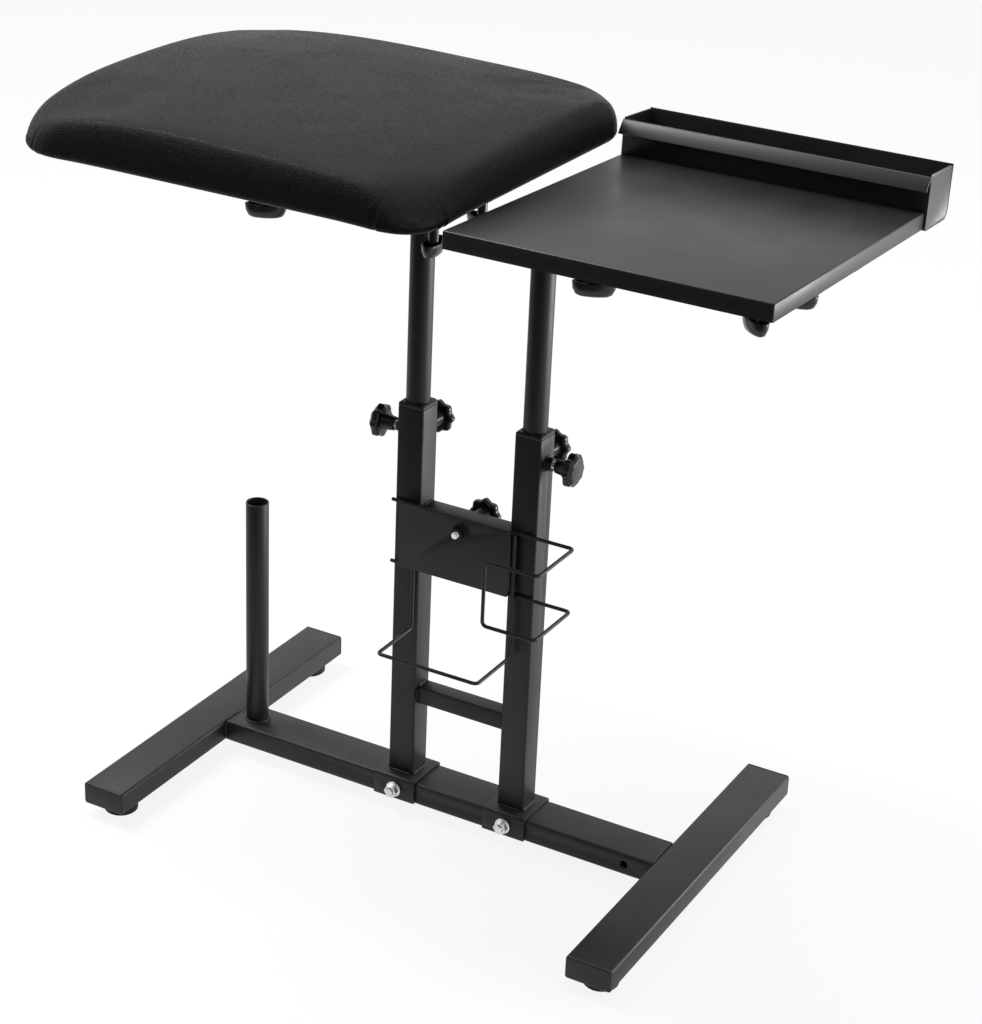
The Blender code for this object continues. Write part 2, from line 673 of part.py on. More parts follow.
def build_rack(root, looks):
    plate_outline = rounded_rect(RACK_PLATE_HEIGHT, RACK_PLATE_WIDTH, RACK_PLATE_CORNER)
    plate_place = (
        RACK_LEFT_X + RACK_PLATE_WIDTH / 2,
        RACK_PLATE_Y,
        RACK_PLATE_TOP_Z - RACK_PLATE_HEIGHT / 2,
    )
    half_sheet = RACK_PLATE_SHEET / 2
    plate_mesh = prism(plate_outline, -half_sheet, half_sheet, "Y")
    plate = add("rack_plate", plate_mesh, looks["paint"], root, plate_place)
    stud_place = (UPRIGHT_MIDDLE_X, 0, RACK_STUD_Z)
    hole_start = RACK_PLATE_Y - RACK_PLATE_SHEET
    hole_end = RACK_PLATE_Y + RACK_PLATE_SHEET
    drill(plate, STUD_DIAMETER + 2 * HOLE_GAP, hole_start, hole_end, stud_place, "Y")
    plate_front = RACK_PLATE_Y - half_sheet
    nut_start = plate_front - SEAT_GAP
    nut = nut_mesh(nut_start, nut_start - NUT_HEIGHT, "Y")
    add("rack_weld_nut", nut, looks["paint"], root, stud_place)
    knob = star_knob_mesh(plate_front - RACK_STUD_TIP, TIE_SIDE / 2 + SEAT_GAP, 1, "Y")
    add("rack_knob", knob, looks["knob"], root, stud_place)

    left = LEFT_UPRIGHT_X - RACK_WIRE_LEFT_END
    right = RIGHT_UPRIGHT_X + RACK_LOOP_REACH
    front = WIRE_Y - RACK_LOOP_DEPTH
    riser = right - RACK_LOOP_WIDTH
    upper = RACK_UPPER_WIRE_Z
    lower = RACK_LOWER_WIRE_Z
    loop = (
        (left, WIRE_Y, upper),
        (right, WIRE_Y, upper),
        (right, front, upper),
        (riser, front, upper),
        (riser, front, lower),
        (right, front, lower),
        (right, WIRE_Y, lower),
        (left, WIRE_Y, lower),
    )
    add_wire("rack_loop_wire", loop, looks["paint"], root)

    shelf_left = RACK_LEFT_X + RACK_SHELF_FROM_LEFT + WIRE_DIAMETER
    shelf_right = shelf_left + RACK_SHELF_WIDTH
    shelf_front = SHELF_WIRE_Y - RACK_SHELF_DEPTH
    shelf = (
        (shelf_left, SHELF_WIRE_Y, RACK_UPPER_WIRE_Z),
        (shelf_left, SHELF_WIRE_Y, RACK_SHELF_Z),
        (shelf_left, shelf_front, RACK_SHELF_Z),
        (shelf_right, shelf_front, RACK_SHELF_Z),
        (shelf_right, SHELF_WIRE_Y, RACK_SHELF_Z),
        (shelf_right, SHELF_WIRE_Y, RACK_UPPER_WIRE_Z),
    )
    add_wire("rack_shelf_wire", shelf, looks["paint"], root)


def add_wire(name, points, material, parent):
    """A round wire bent at each of these points."""
    path = fillet(points, [WIRE_BEND] * (len(points) - 2), 4)
    curve = bpy.data.curves.new(name, "CURVE")
    curve.dimensions = "3D"
    curve.bevel_depth = WIRE_DIAMETER / 2 * MM
    curve.bevel_resolution = 2
    curve.use_fill_caps = True
    spline = curve.splines.new("POLY")
    spline.points.add(len(path) - 1)
    for point, place in zip(spline.points, path):
        point.co = (*(place * MM), 1.0)
    spline.use_smooth = True
    curve.materials.append(material)
    obj = bpy.data.objects.new(name, curve)
    obj.parent = parent
    bpy.context.scene.collection.objects.link(obj)
    return obj


def build_mast(name, x, top_z, root, looks):
    """A round tube in its upright. The empty at its top carries what the mast lifts."""
    axis = empty(f"{name}_axis", (x, 0, top_z), root)
    tube = hollow(circle(MAST_DIAMETER), circle(MAST_DIAMETER - 2 * MAST_WALL), -MAST_LENGTH, 0)
    add(name, tube, looks["paint"], axis)
    return axis


def build_slide(top, head, stations, wing_turns, outward, runner_offset, runner_length, looks):
    """A slotted channel on the mast, two runners under the top, and the wing screws that clamp them.

    Heights run down from the top's underside. The near and far screws stand along X from the mast.
    """
    near, far = stations
    inner_half = KNOB_ROW_Y + RUNNER_WIDTH / 2 + SLIDE_GAP
    middle = inner_half + CHANNEL_SHEET / 2
    floor = CHANNEL_SHEET / 2
    path = ((-middle, CHANNEL_FLANGE), (-middle, floor), (middle, floor), (middle, CHANNEL_FLANGE))
    section = folded_sheet(path, (CHANNEL_BEND, CHANNEL_BEND), CHANNEL_SHEET)
    inner_end = min(near - CHANNEL_END_MARGIN, -CHANNEL_MAST_MARGIN)
    outer_end = far + TOP_TRAVEL + CHANNEL_END_MARGIN
    base_z = -SLIDE_STACK
    channel_mesh = prism(section, outward * inner_end, outward * outer_end, "X")
    channel = add(f"{top}_slide_channel", channel_mesh, looks["paint"], head, (0, 0, base_z))

    slot_width = STUD_DIAMETER + 2 * HOLE_GAP
    slot = rounded_rect(slot_width + TOP_TRAVEL, slot_width, slot_width / 2 - SEAT_GAP / 10)
    runner_z = -SEAT_GAP - RUNNER_HEIGHT / 2
    runner_bottom = runner_z - RUNNER_HEIGHT / 2
    turns = iter(wing_turns)
    for row, sign in (("front", -1), ("rear", 1)):
        y = sign * KNOB_ROW_Y
        half = runner_length / 2
        tube = square_tube(
            RUNNER_WIDTH, RUNNER_HEIGHT, RUNNER_WALL, RUNNER_CORNER, -half, half, "X"
        )
        runner = add(f"{top}_{row}_runner", tube, looks["paint"], head, (runner_offset, y, runner_z))
        for side, x in zip(("left", "right"), sorted((outward * near, outward * far))):
            slot_x = x + outward * TOP_TRAVEL / 2
            cutter = prism(slot, -CHANNEL_SHEET, 2 * CHANNEL_SHEET)
            combine(channel, cutter, (slot_x, y, base_z))
            hole = (x, y, runner_bottom)
            drill(runner, slot_width, -RUNNER_WALL, 2 * RUNNER_WALL, hole, "Z")
            screw = wing_screw_mesh(runner_bottom + WING_STUD - base_z)
            knob = add(f"{top}_{row}_{side}_wing_knob", screw, looks["knob"], head, (x, y, base_z))
            knob.rotation_euler = (0, 0, math.radians(next(turns)))


def wing_screw_mesh(stud_top):
    """An oval hand screw that hangs under the channel: a stud, a stem and a hollow, tapering head."""
    boss_top = -SEAT_GAP
    rim_z = boss_top - WING_RIM_DROP
    hollow_z = rim_z - WING_HOLLOW
    stud = circle(STUD_DIAMETER, SMALL_ROUND_STEPS)
    boss = circle(WING_BOSS_DIAMETER, SMALL_ROUND_STEPS)
    inside = oval(WING_LENGTH - 2 * WING_WALL, WING_WIDTH - 2 * WING_WALL)
    floor_wall = WING_WALL + WING_DRAFT
    hollow_floor = oval(WING_LENGTH - 2 * floor_wall, WING_WIDTH - 2 * floor_wall)
    stations = [
        (stud, stud_top),
        (stud, boss_top),
        (boss, boss_top),
        (boss, hollow_z),
        (hollow_floor, hollow_z),
        (inside, rim_z),
    ]
    steps = 3
    for k in range(steps + 1):
        swing = math.pi / 2 * k / steps
        length = WING_BASE_LENGTH + (WING_LENGTH - WING_BASE_LENGTH) * math.cos(swing)
        width = WING_BASE_WIDTH + (WING_WIDTH - WING_BASE_WIDTH) * math.cos(swing)
        stations.append((oval(length, width), rim_z - WING_HEIGHT * math.sin(swing)))
    return loft([ring(outline, z) for outline, z in stations])


def build_pad(head, looks):
    """Cushion over a board: tucked in below, rolled over to a crowned top, thin at the corners."""
    place = (PAD_CENTRE_X - LEFT_UPRIGHT_X, PAD_CENTRE_Y, 0)
    pocket = PAD_TUCK + PAD_COVER_FOLD
    board = prism(pad_outline(pocket + SEAT_GAP, 1), 0, PAD_BOARD_THICKNESS)
    add("pad_board", board, looks["wood"], head, place)

    stations = [(pocket, PAD_BOARD_THICKNESS + SEAT_GAP), (pocket, 0.0)]
    lower_steps = 3
    for k in range(lower_steps + 1):
        swing = math.pi / 2 * (1 - k / lower_steps)
        stations.append((PAD_TUCK * (1 - math.cos(swing)), PAD_BULGE_Z * (1 - math.sin(swing))))
    shoulder = PAD_THICKNESS - PAD_CROWN
    upper_steps = 7
    for k in range(1, upper_steps + 1):
        swing = math.pi / 2 * k / upper_steps
        rise = (shoulder - PAD_BULGE_Z) * math.sin(swing)
        stations.append((PAD_ROLL * (1 - math.cos(swing)), PAD_BULGE_Z + rise))
    middle = min(PAD_WIDTH, PAD_DEPTH) / 2
    crown_steps = 5
    for k in range(1, crown_steps + 1):
        stations.append((PAD_ROLL + (middle - PAD_ROLL) * k / (crown_steps + 1), shoulder))
    pocket_rings = [ring(pad_outline(inset), z) for inset, z in stations[:2]]
    cover_rings = [pad_ring(inset, z) for inset, z in stations[2:]]
    add("pad_cushion", loft(pocket_rings + cover_rings), looks["leather"], head, place)


def build_tray(head, looks):
    """A sheet top with three lips folded down, and a folded trough along its rear edge."""
    place = (TRAY_CENTRE_X - RIGHT_UPRIGHT_X, 0, TRAY_SHEET)
    half = TRAY_WIDTH / 2
    rear = TRAY_REAR_Y - SEAT_GAP
    mesh = bmesh.new()
    corners = ((-half, rear), (-half, TRAY_FRONT_Y), (half, TRAY_FRONT_Y), (half, rear))
    top = [mesh.verts.new(Vector((x, y, 0)) * MM) for x, y in corners]
    lip_rear = rear - TRAY_LIP_RECESS
    low = [mesh.verts.new(Vector((x, min(y, lip_rear), -TRAY_LIP)) * MM) for x, y in corners]
    mesh.faces.new(top)
    for i in range(3):
        mesh.faces.new((top[i + 1], top[i], low[i], low[i + 1]))
    panel = add("tray_panel", mesh, looks["paint"], head, place)
    bend = panel.modifiers.new("Bends", "BEVEL")
    bend.width = TRAY_BEND * MM
    bend.segments = 3
    bend.limit_method = "ANGLE"
    sheet = panel.modifiers.new("Sheet", "SOLIDIFY")
    sheet.thickness = TRAY_SHEET * MM
    sheet.offset = -1.0
    sheet.use_even_offset = True

    height = TROUGH_DROP + TROUGH_RISE
    rear_height = height - TROUGH_REAR_STEP
    trough_half = half + TROUGH_OVERHANG
    wall = TRAY_SHEET / 2
    back = TROUGH_DEPTH - wall
    path = (
        (wall - TROUGH_HEM_OUT, height - TROUGH_HEM_DROP),
        (wall, height - wall),
        (wall, wall),
        (back, wall),
        (back, rear_height),
    )
    radii = (TROUGH_HEM_BEND, TROUGH_FRONT_BEND, TROUGH_REAR_BEND)
    section = folded_sheet(path, radii, TRAY_SHEET)
    trough_place = (place[0], TRAY_REAR_Y, place[2] - TROUGH_DROP)
    trough_mesh = prism(section, -trough_half, trough_half, "X")
    trough = add("tray_trough", trough_mesh, looks["paint"], head, trough_place)
    end_path = (
        (wall, height - TRAY_SHEET),
        (wall, wall),
        (back, wall),
        (back, rear_height - wall),
        (wall, height - TRAY_SHEET),
    )
    end_radii = (TROUGH_FRONT_BEND, TROUGH_REAR_BEND, TROUGH_END_CORNER)
    end_outline = [tuple(point) for point in fillet(end_path, end_radii)][:-1]
    for sign in (-1, 1):
        outer = trough_half - TROUGH_END_RECESS
        end = prism(end_outline, sign * outer, sign * (outer - TRAY_SHEET), "X")
        combine(trough, end, trough_place, "UNION")


def build():
    clear_scene()
    looks = {
        "paint": make_material("black_powder_coat", (0.026, 0.026, 0.027), 0.48),
        "cap": make_material("black_moulded_plastic", (0.018, 0.018, 0.018), 0.55),
        "knob": make_material("black_gloss_plastic", (0.012, 0.012, 0.012), 0.32),
        "rubber": make_material("black_rubber", (0.016, 0.016, 0.016), 0.8),
        "zinc": make_material("bright_zinc", (0.72, 0.72, 0.70), 0.28, 1.0),
        "wood": make_material("plywood", (0.48, 0.33, 0.19), 0.7),
        "leather": make_material("black_leatherette", (0.02, 0.02, 0.02), 0.45),
    }
    root = empty("workstation", (-ORIGIN_X, -ORIGIN_Y, 0))
    build_feet(root, looks)
    build_crossbar(root, looks)
    build_uprights(root, looks)
    build_rack(root, looks)

    left_axis = build_mast("left_mast", LEFT_UPRIGHT_X, LEFT_MAST_TOP_Z, root, looks)
    pad_head = empty("pad_head", (0, 0, PAD_UNDERSIDE_Z - LEFT_MAST_TOP_Z), left_axis)
    pad_stations = (PAD_NEAR_KNOB, PAD_NEAR_KNOB + PAD_KNOB_PITCH)
    pad_offset = PAD_CENTRE_X - LEFT_UPRIGHT_X
    build_slide(
        "pad", pad_head, pad_stations, PAD_WING_TURNS, -1, pad_offset, PAD_RUNNER_LENGTH, looks
    )
    build_pad(pad_head, looks)

    right_axis = build_mast("right_mast", RIGHT_UPRIGHT_X, RIGHT_MAST_TOP_Z, root, looks)
    tray_head = empty("tray_head", (0, 0, TRAY_UNDERSIDE_Z - RIGHT_MAST_TOP_Z), right_axis)
    tray_head.rotation_euler = (-TILT, 0, 0)
    tray_stations = (TRAY_NEAR_KNOB, TRAY_NEAR_KNOB + TRAY_KNOB_PITCH)
    tray_offset = TRAY_CENTRE_X - RIGHT_UPRIGHT_X
    build_slide(
        "tray", tray_head, tray_stations, TRAY_WING_TURNS, 1, tray_offset, TRAY_RUNNER_LENGTH, looks
    )
    build_tray(tray_head, looks)


build()
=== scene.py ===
"""Looks of the tattoo workstation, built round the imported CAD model.

Lengths are in metres in the model's own frame: +X from the pad to the tray, +Y towards the trough, +Z up.
"""

import json
import math

import bmesh
import bpy
from mathutils import Matrix, Vector


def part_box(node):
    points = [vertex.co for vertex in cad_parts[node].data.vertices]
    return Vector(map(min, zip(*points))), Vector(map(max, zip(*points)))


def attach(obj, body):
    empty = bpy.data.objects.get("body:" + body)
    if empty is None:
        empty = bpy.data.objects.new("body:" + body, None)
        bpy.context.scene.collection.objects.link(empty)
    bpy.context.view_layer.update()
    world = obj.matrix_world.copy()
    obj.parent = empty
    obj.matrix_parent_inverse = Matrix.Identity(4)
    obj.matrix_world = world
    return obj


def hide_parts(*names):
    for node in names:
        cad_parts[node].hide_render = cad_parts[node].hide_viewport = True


MM = 0.001

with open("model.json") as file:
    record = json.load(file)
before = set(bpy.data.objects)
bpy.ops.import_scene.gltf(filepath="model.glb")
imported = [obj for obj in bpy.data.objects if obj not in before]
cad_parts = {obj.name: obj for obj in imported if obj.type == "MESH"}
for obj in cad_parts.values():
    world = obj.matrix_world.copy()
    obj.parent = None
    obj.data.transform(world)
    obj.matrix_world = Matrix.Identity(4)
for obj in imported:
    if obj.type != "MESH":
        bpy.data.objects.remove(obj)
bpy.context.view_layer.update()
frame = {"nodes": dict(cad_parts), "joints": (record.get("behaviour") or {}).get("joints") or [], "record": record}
nodes = frame["nodes"]
body_of_node = {n: b for b, names in frame["record"]["behaviour"]["bodies"].items() for n in names}
slot_of_node = {s["node"]: s["material_slot"] for s in frame["record"]["subparts"]}


# Materials


class Look:
    """A Principled material and short ways to add nodes to it."""

    def __init__(self, name, **sockets):
        self.material = bpy.data.materials.new(name)
        self.material.use_nodes = True
        self.tree = self.material.node_tree
        self.shader = self.tree.nodes["Principled BSDF"]
        for socket, value in sockets.items():
            self.shader.inputs[socket.replace("_", " ")].default_value = value
        self.place = self.tree.nodes.new("ShaderNodeTexCoord").outputs["Object"]

    def add(self, kind, sockets=None, **settings):
        node = self.tree.nodes.new(kind)
        for name, value in settings.items():
            setattr(node, name, value)
        for name, value in (sockets or {}).items():
            if isinstance(value, bpy.types.NodeSocket):
                self.tree.links.new(value, node.inputs[name])
            else:
                node.inputs[name].default_value = value
        return node

    def stretch(self, x, y, z):
        return self.add("ShaderNodeMapping", {"Vector": self.place, "Scale": (x, y, z)}).outputs[0]

    def noise(self, scale, detail=2.0, rough=0.5, vector=None):
        sockets = {"Vector": vector or self.place, "Scale": scale, "Detail": detail, "Roughness": rough}
        return self.add("ShaderNodeTexNoise", sockets).outputs["Fac"]

    def voronoi(self, scale, feature="F1", vector=None):
        sockets = {"Vector": vector or self.place, "Scale": scale}
        return self.add("ShaderNodeTexVoronoi", sockets, feature=feature).outputs["Distance"]

    def math(self, operation, a, b=0.0):
        return self.add("ShaderNodeMath", {0: a, 1: b}, operation=operation).outputs[0]

    def span(self, value, low, high, to_low, to_high):
        sockets = {"Value": value, "From Min": low, "From Max": high, "To Min": to_low, "To Max": to_high}
        return self.add("ShaderNodeMapRange", sockets).outputs["Result"]

    def ramp(self, value, *stops):
        node = self.add("ShaderNodeValToRGB", {"Fac": value})
        elements = node.color_ramp.elements
        while len(elements) < len(stops):
            elements.new(0.5)
        for element, (position, colour) in zip(elements, stops):
            element.position = position
            element.color = (*colour, 1.0) if isinstance(colour, tuple) else (colour, colour, colour, 1.0)
        return node.outputs["Color"]

    def bump(self, height, distance, strength=1.0, normal=None):
        sockets = {"Height": height, "Distance": distance, "Strength": strength}
        if normal is not None:
            sockets["Normal"] = normal
        return self.add("ShaderNodeBump", sockets).outputs["Normal"]

    def set(self, **links):
        for socket, output in links.items():
            self.tree.links.new(output, self.shader.inputs[socket.replace("_", " ")])
        return self.material


def powder_coat(name, colour, rough, gloss_level, peel=1.0):
    """Semi-matt powder coat: a fine orange peel, faint flecks and patches of a little more or less gloss."""
    look = Look(name, Specular_IOR_Level=gloss_level)
    peel_height = look.noise(620, 3.0, 0.55)
    grit = look.noise(2600, 2.0, 0.6)
    fleck = look.ramp(grit, (0.40, colour * 0.72), (0.58, colour), (0.74, colour * 1.75))
    patches = look.span(look.noise(14, 3.0), 0.3, 0.7, rough - 0.045, rough + 0.055)
    gloss = look.math("ADD", patches, look.span(grit, 0.35, 0.7, -0.03, 0.04))
    normal = look.bump(peel_height, 0.00011 * peel, 0.55)
    return look.set(Base_Color=fleck, Roughness=gloss, Normal=look.bump(grit, 0.00004, 0.35, normal))


def leatherette():
    """Pebble-grained leatherette: raised cells, painted shade darkening the creases between them, and a sheen on
    the pebbles' tops.
    """
    look = Look("leatherette_grain", Specular_IOR_Level=0.051)

    def vector_math(operation, sockets):
        return look.add("ShaderNodeVectorMath", sockets, operation=operation).outputs[0]

    wander = look.add("ShaderNodeTexNoise", {"Vector": look.place, "Scale": 300.0, "Detail": 2.0})
    shifted = vector_math("SUBTRACT", {0: wander.outputs["Color"], 1: (0.5, 0.5, 0.5)})
    small = vector_math("SCALE", {0: shifted, "Scale": 0.0016})
    place = vector_math("ADD", {0: look.place, 1: small})
    crease = look.voronoi(400, "DISTANCE_TO_EDGE", place)
    pebble = look.span(crease, 0.0, 0.22, 0.0, 1.0)
    pebble.node.interpolation_type = "SMOOTHSTEP"
    fine = look.noise(2400, 2.0)
    slow = look.noise(16, 3.0)
    height = look.math("ADD", pebble, look.math("MULTIPLY", fine, 0.35))
    # Painted shade: the creases between the pebbles are painted darker than the pebbles' tops
    colour = look.ramp(pebble, (0.0, 0.006), (0.55, 0.009), (1.0, 0.012))
    patches = look.span(slow, 0.3, 0.7, -0.025, 0.03)
    gloss = look.math("ADD", look.span(pebble, 0.0, 1.0, 0.52, 0.32), patches)
    broad = look.bump(slow, 0.0005, 0.2)
    return look.set(Base_Color=colour, Roughness=gloss, Normal=look.bump(height, 0.0003, 0.85, broad))


def moulded(name, colour, rough, bump):
    """Moulded plastic: a faint texture, slight flow patches in the gloss."""
    look = Look(name, Specular_IOR_Level=0.36)
    skin = look.noise(1500, 3.0, 0.6)
    flow = look.noise(45, 3.0)
    tint = look.ramp(flow, (0.3, colour * 0.8), (0.7, colour * 1.25))
    patches = look.span(flow, 0.3, 0.7, rough - 0.05, rough + 0.06)
    gloss = look.math("ADD", patches, look.span(skin, 0.3, 0.7, -0.03, 0.03))
    return look.set(Base_Color=tint, Roughness=gloss, Normal=look.bump(skin, bump, 0.5))


def zinc():
    """Bright zinc plate: fine crystalline spangle and a slightly uneven passivated tint."""
    look = Look("zinc_plate", Metallic=1.0)
    spangle = look.voronoi(1800)
    tint = look.noise(120, 3.0)
    stops = (0.25, (0.62, 0.62, 0.60)), (0.6, (0.76, 0.76, 0.75)), (0.85, (0.72, 0.71, 0.66))
    gloss = look.math("ADD", look.span(spangle, 0.0, 0.6, 0.20, 0.34), look.span(tint, 0.3, 0.7, -0.03, 0.05))
    normal = look.bump(look.noise(3000, 2.0), 0.00003, 0.4)
    return look.set(Base_Color=look.ramp(tint, *stops), Roughness=gloss, Normal=normal)


def rubber():
    """Matt rubber with a little dust in its texture."""
    look = Look("glide_rubber", Specular_IOR_Level=0.3)
    dust = look.noise(700, 4.0, 0.65)
    colour = look.ramp(dust, (0.35, 0.010), (0.6, 0.015), (0.8, 0.026))
    rough = look.span(dust, 0.3, 0.7, 0.7, 0.85)
    return look.set(Base_Color=colour, Roughness=rough, Normal=look.bump(dust, 0.0001, 0.5))


def plywood():
    """Dark-stained plywood: long face grain, pores, and plies along the edge."""
    look = Look("plywood_board", Specular_IOR_Level=0.25)
    grain = look.noise(9, 6.0, 0.6, look.stretch(1.0, 14.0, 4.0))
    pores = look.noise(60, 3.0, 0.7, look.stretch(1.5, 30.0, 30.0))
    wave = {"Vector": look.place, "Scale": 66.0, "Distortion": 1.2}
    plies = look.add("ShaderNodeTexWave", wave, bands_direction="Z").outputs["Fac"]
    mixed = look.math("ADD", look.math("MULTIPLY", grain, 0.7), look.math("MULTIPLY", plies, 0.3))
    stops = (0.25, (0.050, 0.036, 0.024)), (0.5, (0.085, 0.062, 0.042)), (0.75, (0.12, 0.090, 0.062))
    rough = look.span(pores, 0.3, 0.7, 0.55, 0.8)
    normal = look.bump(pores, 0.0002, 0.4)
    return look.set(Base_Color=look.ramp(mixed, *stops), Roughness=rough, Normal=normal)


FRAME_COAT = powder_coat("powder_coat_frame", 0.012, 0.46, 0.31)
TRAY_COAT = powder_coat("powder_coat_tray", 0.011, 0.40, 0.28, 0.7)
LOOKS = {
    "powder_coat": FRAME_COAT,
    "knob_plastic": moulded("knob_plastic_gloss", 0.009, 0.27, 0.00003),
    "cap_plastic": moulded("cap_plastic_matt", 0.011, 0.46, 0.00008),
    "rubber": rubber(),
    "zinc": zinc(),
    "plywood": plywood(),
    "leatherette": leatherette(),
}
WIRES = ("rack_loop_wire", "rack_shelf_wire")


# Pieces


MERGE_DISTANCE = 1e-5
FLAT_ANGLE = 0.4


def placed(name, data):
    obj = bpy.data.objects.new(name, data)
    bpy.context.scene.collection.objects.link(obj)
    return obj


def piece(name, mesh, material, body):
    """A new object that moves with a body and wears the given material."""
    obj = placed(name, mesh)
    mesh.materials.clear()
    mesh.materials.append(material)
    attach(obj, body)
    return obj


def smooth(mesh, angle):
    for face in mesh.polygons:
        face.use_smooth = True
    mesh.set_sharp_from_angle(angle=math.radians(angle))


def applied(obj):
    """Gives the object the mesh that its modifiers make, and removes them."""
    graph = bpy.context.evaluated_depsgraph_get()
    mesh = bpy.data.meshes.new_from_object(obj.evaluated_get(graph))
    obj.modifiers.clear()
    obj.data = mesh
    return mesh


def new_mesh(name, work):
    """A mesh with outward normals from a bmesh, which is freed."""
    bmesh.ops.recalc_face_normals(work, faces=work.faces)
    mesh = bpy.data.meshes.new(name)
    work.to_mesh(mesh)
    work.free()
    return mesh


def bridge(work, loops, closed=False):
    """Faces between each loop of vertices and the next, and from the last to the first if closed."""
    sides = len(loops[0])
    pairs = list(zip(loops, loops[1:])) + ([(loops[-1], loops[0])] if closed else [])
    for a, b in pairs:
        for k in range(sides):
            work.faces.new((a[k], a[(k + 1) % sides], b[(k + 1) % sides], b[k]))


def end_faces(work, loops):
    work.faces.new(list(reversed(loops[0])))
    work.faces.new(loops[-1])


def clamp(value):
    return min(1.0, max(0.0, value))


def dress(node, material=None, edge=0.5, angle=38.0, drop=None):
    """A smooth-shaded skin for a CAD node: its shape, with hard edges rounded as paint rounds them."""
    work = bmesh.new()
    work.from_mesh(nodes[node].data)
    bmesh.ops.remove_doubles(work, verts=work.verts, dist=MERGE_DISTANCE)
    if drop:
        bmesh.ops.delete(work, geom=[f for f in work.faces if drop(f)], context="FACES_ONLY")
    flat = math.radians(FLAT_ANGLE)
    bmesh.ops.dissolve_limit(work, angle_limit=flat, verts=work.verts, edges=work.edges)
    mesh = new_mesh(f"{node}_skin", work)
    slot = slot_of_node[node]
    skin = piece(f"{node}_skin", mesh, material or LOOKS[slot], body_of_node[node])
    if edge:
        bevel = skin.modifiers.new("Edges", "BEVEL")
        bevel.width = edge * MM
        bevel.segments = 2
        bevel.limit_method = "ANGLE"
        bevel.angle_limit = math.radians(angle)
        mesh = applied(skin)
    smooth(mesh, angle)
    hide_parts(node)
    return skin


def line(a, b, step):
    a, b = Vector(a), Vector(b)
    count = max(2, round((b - a).length / step))
    return [a.lerp(b, k / count) for k in range(count + 1)]


def round_path(centre, radius, axis, count):
    side = axis.orthogonal().normalized()
    across = axis.cross(side)
    turn = [2 * math.pi * k / count for k in range(count)]
    return [centre + radius * (math.cos(a) * side + math.sin(a) * across) for a in turn]


# Hand knobs: a moulded head on a threaded steel stud


STUD_DIAMETER = 7.9 * MM
STUD_SIDES = 18
# CAD points nearer to the knob's axis than this are the stud's
STUD_ZONE = 4.1 * MM
# How far the stud goes on into the head
STUD_SEAT = 2.0 * MM
THREAD_PITCH = 1.25 * MM
THREAD_DEPTH = 0.54 * THREAD_PITCH
THREAD_STEPS = 5
# The thread runs out over this share of a pitch, to this share of its depth
THREAD_RUNOUT, THREAD_END = 0.8, 0.15


def threaded_stud(name, start, end, body):
    """A steel stud with a helical thread."""
    axis = (end - start).normalized()
    length = (end - start).length
    side = axis.orthogonal().normalized()
    across = axis.cross(side)
    steps = max(4, math.ceil(length / THREAD_PITCH * THREAD_STEPS))
    work = bmesh.new()
    loops = []
    for i in range(steps + 1):
        along = length * i / steps
        loop = []
        for k in range(STUD_SIDES):
            turn = k / STUD_SIDES
            wave = abs((along / THREAD_PITCH - turn) % 1.0 * 2 - 1)
            taper = min(1.0, (length - along) / (THREAD_RUNOUT * THREAD_PITCH) + THREAD_END)
            radius = STUD_DIAMETER / 2 - THREAD_DEPTH * (1 - wave * taper)
            angle = 2 * math.pi * turn
            spoke = math.cos(angle) * side + math.sin(angle) * across
            loop.append(work.verts.new(start + axis * along + radius * spoke))
        loops.append(loop)
    bridge(work, loops)
    end_faces(work, loops)
    mesh = new_mesh(name, work)
    smooth(mesh, 70)
    piece(name, mesh, LOOKS["zinc"], body)


def dress_knob(node):
    joint = next(j for j in frame["joints"] if j["child"] == body_of_node[node])
    axis = Vector(joint["axis"]).normalized()
    centre = Vector(joint["pos_m"])

    def from_axis(point):
        offset = point - centre
        return (offset - axis * offset.dot(axis)).length

    def on_stud(face):
        return all(from_axis(v.co) < STUD_ZONE for v in face.verts)

    points = [v.co for v in nodes[node].data.vertices]
    along = sorted((p - centre).dot(axis) for p in points if from_axis(p) < STUD_ZONE)
    low, high = along[0], along[-1]
    lowest = min((p - centre).dot(axis) for p in points)
    tip, seat = (low, high) if low <= lowest + 1e-6 else (high, low)
    inward = STUD_SEAT if seat > tip else -STUD_SEAT
    dress(node, edge=0.4, drop=on_stud)
    start = centre + axis * (seat + inward)
    threaded_stud(f"{node}_stud", start, centre + axis * tip, body_of_node[node])


for name in sorted(nodes):
    slot = slot_of_node[name]
    if slot == "knob_plastic":
        dress_knob(name)
    elif name in WIRES:
        dress(name, edge=0.0, angle=60.0)
    elif name in ("tray_panel", "tray_trough"):
        dress(name, TRAY_COAT, edge=0.35, angle=34.0)
    elif slot == "plywood":
        dress(name, edge=0.8)
    elif slot != "leatherette":
        dress(name, edge=0.45)


# Arm pad: a simulated cushion


PAD_LOW, PAD_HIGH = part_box("pad_cushion")
PAD_CENTRE = (PAD_LOW + PAD_HIGH) / 2
PAD_HALF_X = (PAD_HIGH.x - PAD_LOW.x) / 2
PAD_HALF_Y = (PAD_HIGH.y - PAD_LOW.y) / 2
PAD_BOTTOM = PAD_LOW.z
PAD_ROLL = 60 * MM
PAD_BULGE = 10 * MM
PAD_TUCK = 10 * MM
PAD_POCKET = 15 * MM
PAD_EDGE = 51.6 * MM
PAD_LEAN_X, PAD_LEAN_Y = -4.2 * MM, 3.0 * MM
PAD_CROWN = 4.5 * MM
PAD_BOARD = 12.3 * MM
PAD_BOW_LEFT, PAD_BOW_REAR = 7.5 * MM, 4.5 * MM
PAD_LEAST_RISE = 2 * MM
